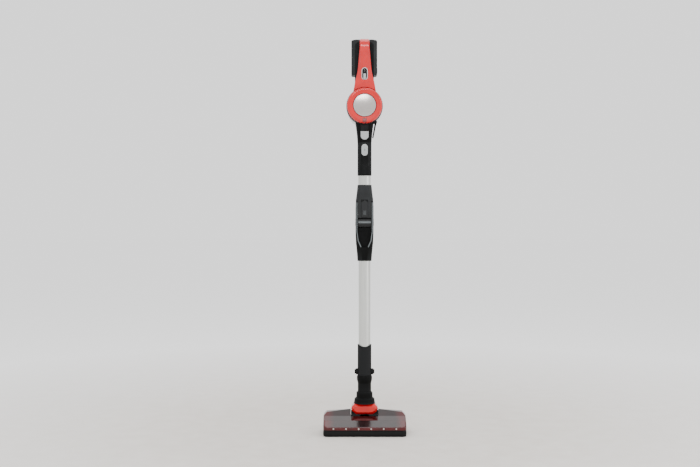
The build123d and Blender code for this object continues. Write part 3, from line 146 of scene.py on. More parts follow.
def spread(tree, fac, low, high):
    """A number that runs from low to high as fac runs from 0.3 to 0.7."""
    return add_node(tree, "ShaderNodeMapRange", {
        "Value": fac, "From Min": 0.3, "From Max": 0.7, "To Min": low, "To Max": high,
    }).outputs["Result"]


def relief(tree, shader, height, depth_mm, strength=1.0, edge_mm=0.5):
    """Bump of a height pattern on a shader, with moulded edges rounded enough to catch light."""
    rounded = add_node(tree, "ShaderNodeBevel", {"Radius": edge_mm * MM}, samples=4)
    bump = add_node(tree, "ShaderNodeBump", {
        "Height": height, "Distance": depth_mm * MM, "Strength": strength,
        "Normal": rounded.outputs["Normal"],
    })
    tree.links.new(bump.outputs["Normal"], shader.inputs["Normal"])


def edges_for_wear_and_highlight(tree, low=0.52, high=0.62):
    """How far a spot is an outer edge, from 0 on flats to 1 on sharp edges, where handling polishes it;
    the lighter colour put there is partly that wear and partly a painted edge highlight.
    """
    shape = add_node(tree, "ShaderNodeNewGeometry")
    return add_node(tree, "ShaderNodeMapRange", {
        "Value": shape.outputs["Pointiness"], "From Min": low, "From Max": high,
        "To Min": 0.0, "To Max": 1.0,
    }).outputs["Result"]


# ---- Materials ---------------------------------------------------------------------------

def glossy_red_abs(look):
    """High-gloss moulded ABS: a deep even red under a sharp clear reflection, with faint
    orange peel from the mould and hairline scuffs that only show in the highlights."""
    material, tree, shader = start_material(
        "high-gloss red ABS", Coat_Weight=0.2, Coat_Roughness=0.06, IOR=1.53,
        Specular_IOR_Level=0.35)
    cloud = object_noise(tree, 35, detail=1.0)
    tree.links.new(tint(tree, cloud, look.red_deep, look.red_bright), shader.inputs["Base Color"])
    scuff = object_noise(tree, 1.2, detail=3.0, stretch=(1, 1, 0.15))
    tree.links.new(spread(tree, scuff, 0.16, 0.26), shader.inputs["Roughness"])
    relief(tree, shader, object_noise(tree, 3.0, detail=0.0), 0.012, 0.6, edge_mm=1.2)
    return material


def dark_red_abs(look):
    """The same ABS in a wine red, for the small tab and the line round the disc."""
    material, tree, shader = start_material("wine red ABS", Coat_Weight=0.4, IOR=1.53)
    cloud = object_noise(tree, 9, detail=1.0)
    tree.links.new(tint(tree, cloud, "#5a0f12", "#7d171b"), shader.inputs["Base Color"])
    tree.links.new(spread(tree, object_noise(tree, 0.8), 0.25, 0.4), shader.inputs["Roughness"])
    return material


def tinted_cover(look):
    """Wine-red clear styrene over a black chassis: near black in the middle, where the
    chassis lies close under it, and redder towards the ends, under a glossy skin."""
    material, tree, shader = start_material(
        "wine-red tinted styrene", IOR=1.59, Specular_IOR_Level=0.3)
    half_width = extent("head_cover").x / 2
    place = add_node(tree, "ShaderNodeTexCoord")
    parts = add_node(tree, "ShaderNodeSeparateXYZ", {"Vector": place.outputs["Object"]})
    side = add_node(tree, "ShaderNodeMath", {0: parts.outputs["X"]}, operation="ABSOLUTE")
    end = add_node(tree, "ShaderNodeMapRange", {
        "Value": side.outputs["Value"], "From Min": half_width * 0.74, "From Max": half_width * 0.9,
    }).outputs["Result"]
    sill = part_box("head_cover")[0][2]
    front = add_node(tree, "ShaderNodeMapRange", {
        "Value": parts.outputs["Z"], "From Min": sill + 7 * MM, "From Max": sill + 11 * MM,
        "To Min": 1.0, "To Max": 0.0,
    }).outputs["Result"]
    redder = add_node(tree, "ShaderNodeMath", {0: end, 1: front}, operation="MAXIMUM")
    cloud = object_noise(tree, 30, detail=1.0)
    dark = tint(tree, cloud, look.cover_dark, "#241213")
    red = tint(tree, cloud, look.cover_red, "#4d0d11")
    colour = add_node(tree, "ShaderNodeMix", {0: redder.outputs["Value"], 6: dark, 7: red},
                      data_type="RGBA")
    tree.links.new(colour.outputs[2], shader.inputs["Base Color"])
    haze = object_noise(tree, 1.5, detail=3.0)
    tree.links.new(spread(tree, haze, 0.08, 0.16), shader.inputs["Roughness"])
    relief(tree, shader, object_noise(tree, 14, detail=0.0), 0.02, 0.5)
    return material


def textured_black(look, name="spark-textured black ABS", low=None, high=None, rough=(0.5, 0.66),
                   sheen=0.08):
    """Black ABS from a spark-eroded mould: a fine even grain that breaks the reflection into a soft
    sheen, and edges rubbed a little smoother by handling, painted lighter partly as that wear and partly
    as a painted edge highlight. The real grain is about 0.1 mm, drawn here at 0.5 mm so that it can be
    seen."""
    material, tree, shader = start_material(name, IOR=1.5, Specular_IOR_Level=sheen)
    cloud = object_noise(tree, 28, detail=2.0)
    body = tint(tree, cloud, low or look.black_deep, high or look.black_soft)
    # edges lighter in colour: partly handling wear, partly a painted edge highlight
    edge = edges_for_wear_and_highlight(tree)
    colour_with_wear_and_highlight = add_node(tree, "ShaderNodeMix", {0: edge, 6: body, 7: linear("#1c1d1e")}, data_type="RGBA")
    tree.links.new(colour_with_wear_and_highlight.outputs[2], shader.inputs["Base Color"])
    tree.links.new(spread(tree, object_noise(tree, 6, detail=3.0), *rough), shader.inputs["Roughness"])
    relief(tree, shader, object_noise(tree, look.grain_mm, detail=1.0), 0.05, 0.5)
    return material


def battery_abs(look):
    """Glass-filled nylon of the battery: a shade lighter and drier than the casing."""
    return textured_black(look, "glass-filled nylon", "#121415", "#1c1e1f", (0.5, 0.66), 0.22)


def knee_abs(look):
    """The knee's upper casing is moulded in charcoal, a step lighter than the rest."""
    return textured_black(look, "charcoal ABS", "#131516", "#1d1f21", (0.42, 0.56), 0.22)


def gloss_black(look):
    """Polished black acrylic of the switch recess: a mirror-like dark pane."""
    material, tree, shader = start_material("polished black acrylic", IOR=1.49, Specular_IOR_Level=0.3)
    tree.links.new(tint(tree, object_noise(tree, 5), "#060606", "#0d0e0f"), shader.inputs["Base Color"])
    tree.links.new(spread(tree, object_noise(tree, 0.9), 0.08, 0.2), shader.inputs["Roughness"])
    return material


def grey_trim(look):
    """Mid-grey painted ABS of the knee's rails: a metallic fleck in a satin lacquer."""
    material, tree, shader = start_material(
        "grey metallic lacquer", Metallic=0.35, IOR=1.5, Specular_IOR_Level=0.3)
    fleck = object_noise(tree, 0.4, detail=1.0)
    tree.links.new(tint(tree, fleck, "#4a4e50", "#6b7072"), shader.inputs["Base Color"])
    tree.links.new(spread(tree, fleck, 0.32, 0.46), shader.inputs["Roughness"])
    return material


def silver_lacquer(look, name="silver metallic lacquer", low="#8f9293", high="#abaeae"):
    """Silver lacquer on ABS: fine metal flakes, drawn at 0.35 mm, in a soft satin coat."""
    material, tree, shader = start_material(name, Metallic=0.55, Coat_Weight=0.2)
    fleck = object_noise(tree, 0.35, detail=1.0)
    tree.links.new(tint(tree, fleck, low, high), shader.inputs["Base Color"])
    tree.links.new(spread(tree, object_noise(tree, 4), 0.28, 0.42), shader.inputs["Roughness"])
    relief(tree, shader, fleck, 0.01, 0.4)
    return material


def spun_disc(look):
    """A spun and lacquered aluminium disc: fine rings round its middle that smear the
    reflection into a soft cone of light."""
    material, tree, shader = start_material("spun satin aluminium", Metallic=0.95)
    shader.inputs["Anisotropic"].default_value = 0.35
    centre = middle("disc_cap")
    place = add_node(tree, "ShaderNodeTexCoord")
    offset = add_node(tree, "ShaderNodeVectorMath", {0: place.outputs["Object"], 1: list(centre)},
                      operation="SUBTRACT")
    flat = add_node(tree, "ShaderNodeVectorMath", {0: offset.outputs["Vector"], 1: (1, 0, 1)},
                    operation="MULTIPLY")
    reach = add_node(tree, "ShaderNodeVectorMath", {0: flat.outputs["Vector"]}, operation="LENGTH")
    ring = add_node(tree, "ShaderNodeCombineXYZ", {"X": reach.outputs["Value"]})
    mapping = add_node(tree, "ShaderNodeMapping", {
        "Vector": ring.outputs["Vector"], "Scale": [1 / (0.45 * MM)] * 3})
    lines = add_node(tree, "ShaderNodeTexNoise", {
        "Vector": mapping.outputs["Vector"], "Scale": 1.0, "Detail": 3.0}).outputs["Fac"]
    tree.links.new(tint(tree, lines, "#a39d9a", "#c2bcb8"), shader.inputs["Base Color"])
    tree.links.new(spread(tree, lines, 0.2, 0.3), shader.inputs["Roughness"])
    relief(tree, shader, lines, 0.012, 0.5)
    return material


def brushed_tube(look):
    """Anodised aluminium tube, brushed along its length: long fine scratches that pull the
    highlight out into upright bands."""
    material, tree, shader = start_material("brushed anodised aluminium", Metallic=1.0)
    shader.inputs["Anisotropic"].default_value = 0.4
    brush = object_noise(tree, 0.7, detail=4.0, stretch=(1, 1, 0.01), roughness=0.6)
    tree.links.new(tint(tree, brush, "#b9bab6", "#d0d1cd"), shader.inputs["Base Color"])
    tree.links.new(spread(tree, brush, 0.3, 0.44), shader.inputs["Roughness"])
    relief(tree, shader, brush, 0.012, 0.5)
    return material


def bright_chrome(look):
    """Chrome plating on plastic: a near-perfect mirror with a trace of haze."""
    material, tree, shader = start_material("chrome plating", Metallic=1.0)
    tree.links.new(tint(tree, object_noise(tree, 6), "#d5d7d9", "#e6e7e8"), shader.inputs["Base Color"])
    haze = object_noise(tree, 1.5, detail=3.0)
    tree.links.new(spread(tree, haze, 0.05, 0.12), shader.inputs["Roughness"])
    return material


def turned_steel(look):
    """Turned steel of pins, shafts and motor cans: fine lathe lines and a grey sheen."""
    material, tree, shader = start_material("turned steel", Metallic=1.0)
    lines = object_noise(tree, 0.5, detail=3.0, stretch=(1, 0.1, 0.1))
    tree.links.new(tint(tree, lines, "#8e8f90", "#a9aaab"), shader.inputs["Base Color"])
    tree.links.new(spread(tree, lines, 0.25, 0.38), shader.inputs["Roughness"])
    relief(tree, shader, lines, 0.01, 0.4)
    return material


def smoked_clear(look):
    """Smoke-grey clear styrene of the dust container: it darkens what lies inside, and its
    wall carries faint flow marks and fine dust scratches."""
    material, tree, shader = start_material(
        "smoke-grey clear styrene", IOR=1.59, Transmission_Weight=0.85, Coat_Weight=0.3)
    cloud = object_noise(tree, 25, detail=2.0)
    tree.links.new(tint(tree, cloud, "#8a8d90", "#a5a8aa"), shader.inputs["Base Color"])
    haze = object_noise(tree, 1.2, detail=4.0)
    tree.links.new(spread(tree, haze, 0.04, 0.12), shader.inputs["Roughness"])
    return material


def soft_rubber(look):
    """Moulded rubber of seals, hose, belt and tyres: dull, with a dry bloom."""
    material, tree, shader = start_material("moulded rubber", IOR=1.52, Specular_IOR_Level=0.15)
    bloom = object_noise(tree, 4, detail=3.0)
    tree.links.new(tint(tree, bloom, "#0b0b0b", "#151514"), shader.inputs["Base Color"])
    tree.links.new(spread(tree, bloom, 0.65, 0.82), shader.inputs["Roughness"])
    relief(tree, shader, object_noise(tree, 0.6), 0.04, 0.5)
    return material


def moulded_nylon(look):
    """Black nylon of the impeller and the filter's cage: a low waxy sheen."""
    return textured_black(look, "moulded nylon", "#0f0f10", "#1a1b1c", (0.4, 0.55))


def filter_fleece(look):
    """Pleated white fleece: tangled fibres a tenth of a millimetre thick, drawn at 0.4 mm."""
    material, tree, shader = start_material("pleated polyester fleece", Sheen_Weight=0.3)
    fibre = object_noise(tree, 0.4, detail=4.0)
    tree.links.new(tint(tree, fibre, "#c9c8c0", "#ecebe4"), shader.inputs["Base Color"])
    tree.links.new(spread(tree, fibre, 0.8, 0.95), shader.inputs["Roughness"])
    relief(tree, shader, fibre, 0.15, 0.7)
    return material


def open_foam(look):
    """Open-cell foam of the exhaust filter: pores of about a millimetre, with painted shade darkening
    each one towards its middle.
    """
    material, tree, shader = start_material("open-cell foam")
    place = add_node(tree, "ShaderNodeTexCoord")
    cells = add_node(tree, "ShaderNodeTexVoronoi", {
        "Vector": place.outputs["Object"], "Scale": 1 / (1.4 * MM)}).outputs["Distance"]
    # painted shade: darker towards each pore's middle, where the hole is deepest
    tree.links.new(tint(tree, cells, "#0d0d0e", "#3a3a3d", (0.1, 0.6)), shader.inputs["Base Color"])
    tree.links.new(spread(tree, cells, 0.85, 0.95), shader.inputs["Roughness"])
    relief(tree, shader, cells, 0.3, 0.8)
    return material


def circuit_board(look):
    """Green solder-masked glass laminate with a faint weave."""
    material, tree, shader = start_material("solder-masked laminate", Coat_Weight=0.4, IOR=1.55)
    weave = object_noise(tree, 1.1, detail=1.0, stretch=(1, 1, 0.4))
    tree.links.new(tint(tree, weave, "#0e4a2a", "#1c6a3d"), shader.inputs["Base Color"])
    tree.links.new(spread(tree, weave, 0.3, 0.45), shader.inputs["Roughness"])
    return material


def shrink_wrap(look):
    """Blue PVC shrink wrap of the cells: thin glossy film with slight wrinkles."""
    material, tree, shader = start_material("PVC shrink wrap", Coat_Weight=0.5, IOR=1.54)
    wrinkle = object_noise(tree, 6, detail=2.0)
    tree.links.new(tint(tree, wrinkle, "#1d4c86", "#2a66ab"), shader.inputs["Base Color"])
    tree.links.new(spread(tree, wrinkle, 0.2, 0.35), shader.inputs["Roughness"])
    relief(tree, shader, wrinkle, 0.15, 0.5)
    return material


def roll_plastic(look):
    """Wine-red moulded core of the brush roll, with a satin skin."""
    material, tree, shader = start_material("satin wine-red ABS", IOR=1.53)
    cloud = object_noise(tree, 8)
    tree.links.new(tint(tree, cloud, "#5b1216", "#7d1b20"), shader.inputs["Base Color"])
    tree.links.new(spread(tree, cloud, 0.35, 0.5), shader.inputs["Roughness"])
    return material


def nylon_bristle(look):
    """Dark nylon bristle: waxy strands, a little lighter towards some tips."""
    material, tree, shader = start_material("nylon bristle", Sheen_Weight=0.2, IOR=1.53)
    strand = object_noise(tree, 0.8, detail=2.0)
    tree.links.new(tint(tree, strand, "#17181a", "#3a3d40"), shader.inputs["Base Color"])
    tree.links.new(spread(tree, strand, 0.4, 0.6), shader.inputs["Roughness"])
    return material


def lamp_lens(look):
    """Clear lens of the head's lamps, seen unlit: a pale, slightly cloudy dot."""
    material, tree, shader = start_material(
        "clear lamp lens", IOR=1.49, Transmission_Weight=0.3, Coat_Weight=0.5)
    cloud = object_noise(tree, 2)
    tree.links.new(tint(tree, cloud, "#b9b4ae", "#dcd8d2"), shader.inputs["Base Color"])
    tree.links.new(spread(tree, cloud, 0.1, 0.25), shader.inputs["Roughness"])
    return material


def floor_with_painted_light(look):
    """Pale matt studio floor with painted light: it lightens to white away from the machine, leaving it
    darker round the machine as painted shade.
    """
    material, tree, shader = start_material("pale matt floor")
    place = add_node(tree, "ShaderNodeTexCoord")
    reach = add_node(tree, "ShaderNodeVectorMath", {0: place.outputs["Object"]}, operation="LENGTH")
    # painted light: the floor's colour runs to white between 0.5 m and 2.2 m out from the machine
    far = add_node(tree, "ShaderNodeMapRange", {
        "Value": reach.outputs["Value"], "From Min": 0.5, "From Max": 2.2}).outputs["Result"]
    near = tint(tree, object_noise(tree, 60, detail=3.0), "#d3cdc6", "#d9d4ce")
    colour = add_node(tree, "ShaderNodeMix", {0: far, 6: near, 7: linear("#ffffff")}, data_type="RGBA")
    tree.links.new(colour.outputs[2], shader.inputs["Base Color"])
    shader.inputs["Roughness"].default_value = 0.7
    shader.inputs["Specular IOR Level"].default_value = 0.2
    return material


# ---- Building pieces ---------------------------------------------------------------------

def place(name, mesh, body, material, angle=35):
    """Put a finished mesh in the scene, smooth but for its sharp edges, riding on a body."""
    work = bmesh.new()
    work.from_mesh(mesh)
    bmesh.ops.recalc_face_normals(work, faces=work.faces)
    work.to_mesh(mesh)
    work.free()
    mesh.shade_smooth()
    mesh.set_sharp_from_angle(angle=math.radians(angle))
    mesh.materials.append(material)
    obj = bpy.data.objects.new(name, mesh)
    bpy.context.scene.collection.objects.link(obj)
    if body:
        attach(obj, body)
    return obj


def mesh_of(name, points, faces):
    """A mesh from points and faces."""
    mesh = bpy.data.meshes.new(name)
    mesh.from_pydata([tuple(point) for point in points], [], faces)
    mesh.validate()
    return mesh


def front_plane(x, y, z):
    """A plane that faces the front: its corner, its right and its up."""
    return Vector((x, y, z)), Vector((1, 0, 0)), Vector((0, 0, 1))


def back_plane(x, y, z):
    """A plane that faces the back."""
    return Vector((x, y, z)), Vector((-1, 0, 0)), Vector((0, 0, 1))


def slab(name, outline, thick, plane, body, material, rounding=0.0):
    """A plate with that outline, standing thick out of a plane, its front edges rounded."""
    origin, right, up = plane
    out = right.cross(up)
    work = bmesh.new()
    foot = [work.verts.new(origin + right * x + up * y) for x, y in outline]
    top = [work.verts.new(origin + right * x + up * y + out * thick) for x, y in outline]
    work.faces.new(foot)
    front = work.faces.new(top)
    count = len(outline)
    for i in range(count):
        j = (i + 1) % count
        work.faces.new((foot[i], foot[j], top[j], top[i]))
    if rounding:
        bmesh.ops.bevel(work, geom=list(front.edges), offset=rounding, segments=3, affect="EDGES",
                        profile=0.5)
    mesh = bpy.data.meshes.new(name)
    work.to_mesh(mesh)
    work.free()
    return place(name, mesh, body, material)


def oval(half_width, half_height, steps=8):
    """The outline of a slot with round ends, upright if it is taller than wide."""
    radius = min(half_width, half_height)
    dx, dy = half_width - radius, half_height - radius
    outline = []
    for quarter, (sx, sy) in enumerate(((1, 1), (-1, 1), (-1, -1), (1, -1))):
        for i in range(steps + 1):
            turn = math.pi / 2 * (quarter + i / steps)
            spot = (sx * dx + radius * math.cos(turn), sy * dy + radius * math.sin(turn))
            if not outline or math.dist(outline[-1], spot) > 1e-7:
                outline.append(spot)
    if math.dist(outline[0], outline[-1]) < 1e-7:
        outline.pop()
    return outline


def lathe(name, profile, centre, axis, body, material, steps=96, closed=True):
    """A profile of (radius, distance along the axis) turned round an axis through centre."""
    axis = Vector(axis).normalized()
    side = axis.orthogonal().normalized()
    over = axis.cross(side)
    centre = Vector(centre)
    points, faces = [], []
    for i in range(steps):
        turn = 2 * math.pi * i / steps
        spoke = side * math.cos(turn) + over * math.sin(turn)
        points += [centre + spoke * radius + axis * along for radius, along in profile]
    count = len(profile)
    for i in range(steps):
        j = (i + 1) % steps
        for k in range(count if closed else count - 1):
            m = (k + 1) % count
            faces.append((i * count + k, i * count + m, j * count + m, j * count + k))
    return place(name, mesh_of(name, points, faces), body, material)


def sweep(name, stations, profile, body, material, closed=False):
    """A closed profile of (outward, upward) carried along stations of (point, outward, upward)."""
    points, faces = [], []
    for point, outward, upward in stations:
        points += [point + outward * x + upward * y for x, y in profile]
    count, total = len(profile), len(stations)
    for i in range(total if closed else total - 1):
        j = (i + 1) % total
        for k in range(count):
            m = (k + 1) % count
            faces.append((i * count + k, i * count + m, j * count + m, j * count + k))
    if not closed:
        faces.append(tuple(range(count)))
        faces.append(tuple(range((total - 1) * count, total * count)))
    return place(name, mesh_of(name, points, faces), body, material)


def surface(node):
    """A CAD node's surface at rest, for laying fine pieces on it."""
    obj = NODES[node]
    mesh = obj.data
    points = [obj.matrix_world @ vert.co for vert in mesh.vertices]
    return BVHTree.FromPolygons(points, [list(face.vertices) for face in mesh.polygons])


def seam(name, node, path, toward, width_mm, body, material, rise_mm=0.05, step_mm=1.5):
    """A thin line laid on a CAD node's surface under a path, seen in the direction toward."""
    tree = surface(node)
    toward = Vector(toward).normalized()
    spots = []
    for start, end in zip(path, path[1:]):
        start, end = Vector(start), Vector(end)
        parts = max(1, round((end - start).length / (step_mm * MM)))
        spots += [start.lerp(end, i / parts) for i in range(parts)]
    spots.append(Vector(path[-1]))
    met = []
    for spot in spots:
        hit, normal, _, _ = tree.ray_cast(spot - toward * 0.3, toward)
        if hit is None:
            raise RuntimeError(f"{name}: {node} has no surface at {tuple(spot)}")
        met.append((hit, -normal if normal.dot(toward) > 0 else normal))
    half = width_mm * MM / 2
    stations = []
    for i, (hit, normal) in enumerate(met):
        run = met[min(i + 1, len(met) - 1)][0] - met[max(i - 1, 0)][0]
        stations.append((hit, normal, run.cross(normal).normalized()))
    rise = rise_mm * MM
    profile = [(-0.1 * MM, -half), (rise * 0.6, -half), (rise, -half * 0.6), (rise, half * 0.6),
               (rise * 0.6, half), (-0.1 * MM, half)]
    return sweep(name, stations, profile, body, material)


# ---- Settings ----------------------------------------------------------------------------

def colour_setting(name, default, description):
    """A colour kept as sRGB hex."""
    return StringProperty(name=name, default=default, description=description)


def length_setting(name, default_mm, description):
    """A length, kept in metres."""
    return FloatProperty(name=name, default=default_mm * MM, subtype="DISTANCE", unit="LENGTH",
                         description=description)


class VacuumLook(bpy.types.PropertyGroup):
    red_deep: colour_setting("Red, deep", "#b50a0d", "Red ABS where it is darkest")
    red_bright: colour_setting("Red, bright", "#c80f12", "Red ABS where it is brightest")
    black_deep: colour_setting("Black, deep", "#050505", "Black ABS where it is darkest")
    black_soft: colour_setting("Black, soft", "#090a0a", "Black ABS where it is lightest")
    cover_dark: colour_setting("Cover, dark", "#180b0c", "Tinted cover over the chassis")
    cover_red: colour_setting("Cover, red", "#3e090c", "Tinted cover where light gets through")
    grain_mm: FloatProperty(name="Grain", default=0.5, min=0.1,
                            description="Width of the black ABS grain in mm")


class VacuumSizes(bpy.types.PropertyGroup):
    seam_mm: FloatProperty(name="Seam", default=0.45, min=0.1,
                           description="Width of a parting line in mm")
    tip_radius: length_setting("Bristle reach", 18.8, "From the roll's axis to the bristles' tips")
    rows: IntProperty(name="Bristle rows", default=4, min=1,
                      description="Helical rows of tufts on the roll")
    tuft_pitch: length_setting("Tuft pitch", 3.4, "Between tufts along a row")
    strands: IntProperty(name="Strands", default=14, min=1, description="Strands in one tuft")
    hose_pitch: length_setting("Hose pitch", 4.0, "Between the hose's ribs")
    camera: FloatVectorProperty(name="Camera", default=(-0.0456, -3.01, 0.648), subtype="TRANSLATION",
                                description="Where the camera stands")
    camera_dip: FloatProperty(name="Camera dip", default=math.radians(0.5), subtype="ANGLE",
                              unit="ROTATION", description="How far the camera looks down")
    lens: FloatProperty(name="Lens", default=49.2, min=10,
                        description="Focal length in mm on a 36 mm sensor")


def material_named(name):
    """A material made by the finish operator."""
    found = bpy.data.materials.get(name)
    if found is None:
        raise RuntimeError(f"run the finishes first: there is no material {name}")
    return found


# ---- Operators ---------------------------------------------------------------------------

FINISHES = {
    "red_abs": glossy_red_abs, "dark_red": dark_red_abs, "red_tint": tinted_cover,
    "black_abs": textured_black, "battery_abs": battery_abs, "housing_grey": knee_abs,
    "satin_silver": spun_disc, "silver_button": silver_lacquer, "trim_grey": grey_trim,
    "chrome": bright_chrome, "aluminium_tube": brushed_tube, "smoked_clear": smoked_clear,
    "steel": turned_steel, "impeller_nylon": moulded_nylon, "filter_white": filter_fleece,
    "foam": open_foam, "board_green": circuit_board, "cell_wrap": shrink_wrap,
    "socket_black": gloss_black, "rubber": soft_rubber, "roll_core": roll_plastic,
    "bristle": nylon_bristle, "led_clear": lamp_lens,
}


class VacuumOperator:
    bl_options = {"REGISTER", "UNDO"}

    def execute(self, context):
        self.build(context.scene.vacuum_look, context.scene.vacuum_sizes)
        return {"FINISHED"}


class VACUUM_OT_finishes(VacuumOperator, bpy.types.Operator):
    """Gives every CAD piece the finish of its material slot"""
    bl_idname = "vacuum.finishes"
    bl_label = "Finishes"

    def build(self, look, sizes):
        subparts = frame["record"]["subparts"]
        overrides = {"switch_plate": "polished black acrylic", "flex_upper_shell": "charcoal ABS",
                     "disc_cap": "spun satin aluminium", "flex_button": "charcoal ABS"}
        made = {slot: make(look) for slot, make in FINISHES.items()}
        for subpart in subparts:
            obj = NODES[subpart["node"]]
            obj.data.materials.clear()
            obj.data.materials.append(made[subpart["material_slot"]])
        for node, name in overrides.items():
            NODES[node].data.materials.clear()
            NODES[node].data.materials.append(material_named(name))


class VACUUM_OT_drum(VacuumOperator, bpy.types.Operator):
    """Groove and bright rim round the disc, and the marks on the ring's tab"""
    bl_idname = "vacuum.drum"
    bl_label = "Drum face"

    def build(self, look, sizes):
        centre = middle("disc_cap")
        disc_radius = extent("disc_cap").x / 2
        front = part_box("disc_cap")[0][1]
        edge_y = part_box("red_ring")[0][1]
        centre.y = 0
        toward = Vector((0, -1, 0))
        # Profiles in mm: out from the disc's edge, and forward of the ring's or the disc's face
        groove = [(disc_radius + out * MM, -edge_y + ahead * MM) for out, ahead in (
            (0.15, -4.2), (0.15, -2.4), (0.8, -3.2), (1.5, -3.2), (2.15, -2.0), (2.15, -4.2))]
        lathe("disc_groove", groove, centre, toward, ROOT, material_named("wine red ABS"))
        rim = [(disc_radius + out * MM, -front + ahead * MM) for out, ahead in (
            (-1.1, -3.35), (-0.75, -2.95), (-0.3, -2.95), (-0.02, -3.3), (-0.02, -3.9), (-1.1, -3.9))]
        lathe("disc_rim", rim, centre, toward, ROOT, material_named("chrome plating"))
        tab = middle("ring_tab")
        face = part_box("ring_tab")[0][1]
        for side in (-1, 1):
            arrow = [(-1.1 * MM, -0.9 * MM), (1.1 * MM, -0.9 * MM), (0, 1.1 * MM)]
            slab(f"tab_mark_{side}", arrow, 0.25 * MM,
                 front_plane(side * 2.6 * MM, face + 0.1 * MM, tab.z),
                 ROOT, material_named("grey metallic lacquer"))


class VACUUM_OT_handle(VacuumOperator, bpy.types.Operator):
    """Parting lines of the handle, the switch's dots and the soft pad inside the grip"""
    bl_idname = "vacuum.handle"
    bl_label = "Handle"

    def build(self, look, sizes):
        wine = material_named("wine red ABS")
        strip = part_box("red_spine")
        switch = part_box("switch_bezel")
        switch_mid = middle("switch_bezel")
        front = strip[0][1]
        foot = switch[0][2] - 8.5 * MM
        line_x = 13.0 * MM
        top = strip[1][2] - 9 * MM
        for side in (-1, 1):
            seam(f"handle_line_{side}", "red_spine",
                 [(side * line_x, front, foot), (side * line_x, front, top)],
                 (0, 1, 0), sizes.seam_mm * 0.8, ROOT, wine)
        seam("handle_line_foot", "red_spine", [(-line_x, front, foot), (line_x, front, foot)],
             (0, 1, 0), sizes.seam_mm * 0.8, ROOT, wine)
        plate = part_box("switch_plate")[0][1]
        for rise in (8.5, 14.0):
            slab(f"switch_dot_{rise}", oval(0.75 * MM, 0.75 * MM, 6), 0.16 * MM,
                 front_plane(0, plate, switch_mid.z + rise * MM), ROOT,
                 material_named("silver metallic lacquer"), 0.05 * MM)
        # The soft pad stands in the loop, on the back of the grip
        rubber = material_named("moulded rubber")
        loop_low, loop_high = switch_mid.z - 22 * MM, strip[1][2] - 31 * MM
        tree = surface("grip")
        back = tree.ray_cast(Vector((0, 0.015, switch_mid.z)), Vector((0, -1, 0)))[0].y
        centre_z = (loop_low + loop_high) / 2
        half_height = (loop_high - loop_low) / 2
        slab("grip_pad", oval(8.5 * MM, half_height), 0.9 * MM, back_plane(0, back - 0.2 * MM, centre_z),
             ROOT, rubber, 0.4 * MM)
        ribs = 13
        for i in range(ribs):
            level = centre_z + (i - (ribs - 1) / 2) * 5.0 * MM
            slab(f"grip_rib_{i}", oval(6.4 * MM, 0.9 * MM, 4), 1.5 * MM,
                 back_plane(0, back - 0.2 * MM, level), ROOT, rubber, 0.5 * MM)


class VACUUM_OT_wand(VacuumOperator, bpy.types.Operator):
    """Parting lines and button marks on the wand, and the ribbed hose inside the knee"""
    bl_idname = "vacuum.wand"
    bl_label = "Wand"

    def build(self, look, sizes):
        dark = material_named("polished black acrylic")
        grey = material_named("grey metallic lacquer")
        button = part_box("tube_button")
        front = button[0][1]
        level = middle("tube_button").z
        for i in range(3):
            slab(f"oval_button_bar_{i}", oval(2.6 * MM, 0.45 * MM, 4), 0.3 * MM,
                 front_plane(0, front + 0.02 * MM, level + (i - 1) * 2.6 * MM), "tube_button", grey,
                 0.12 * MM)
        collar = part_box("tube_collar")
        half = (collar[1][0] - collar[0][0]) / 2 - 0.6 * MM
        for name, edge, tip in (("lower", 19, 31), ("upper", 25, 36)):
            start = collar[0][2]
            seam(f"collar_chevron_{name}", "tube_collar",
                 [(-half, 0, start + (edge + 22) * MM), (0, 0, start + (tip - 8) * MM),
                  (half, 0, start + (edge + 22) * MM)],
                 (0, 1, 0), sizes.seam_mm, "upper_wand", dark)
        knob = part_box("flex_button")
        for i in range(4):
            slab(f"knee_button_ridge_{i}", oval(4.6 * MM, 0.5 * MM, 4), 0.35 * MM,
                 front_plane(0, knob[0][1] + 0.02 * MM, knob[0][2] + (9 + i * 3.2) * MM),
                 "flex_button", grey, 0.14 * MM)
        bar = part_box("flex_bar")
        for side in (-1, 1):
            slab(f"knee_bar_dot_{side}", oval(0.9 * MM, 0.9 * MM, 6), 0.2 * MM,
                 front_plane(side * 13 * MM, bar[0][1] + 0.02 * MM, middle("flex_bar").z),
                 "upper_wand", dark, 0.08 * MM)
        # Soft ribbed hose through the knee
        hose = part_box("flex_hose")
        radius = extent("flex_hose").x / 2
        length = hose[1][2] - hose[0][2]
        ribs = int(length / sizes.hose_pitch)
        steps = 6
        outer = []
        for i in range(ribs * steps + 1):
            wave = 0.5 - 0.5 * math.cos(2 * math.pi * i / steps)
            outer.append((radius - 0.1 * MM - 0.9 * MM * (1 - wave), length * i / (ribs * steps)))
        inner = [(radius - 2.6 * MM, along) for _, along in reversed(outer)]
        made = lathe("knee_hose", outer + inner, (0, 0, hose[0][2]), (0, 0, 1), None,
                     material_named("moulded rubber"), steps=40)
        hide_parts("flex_hose")
        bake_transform(made)


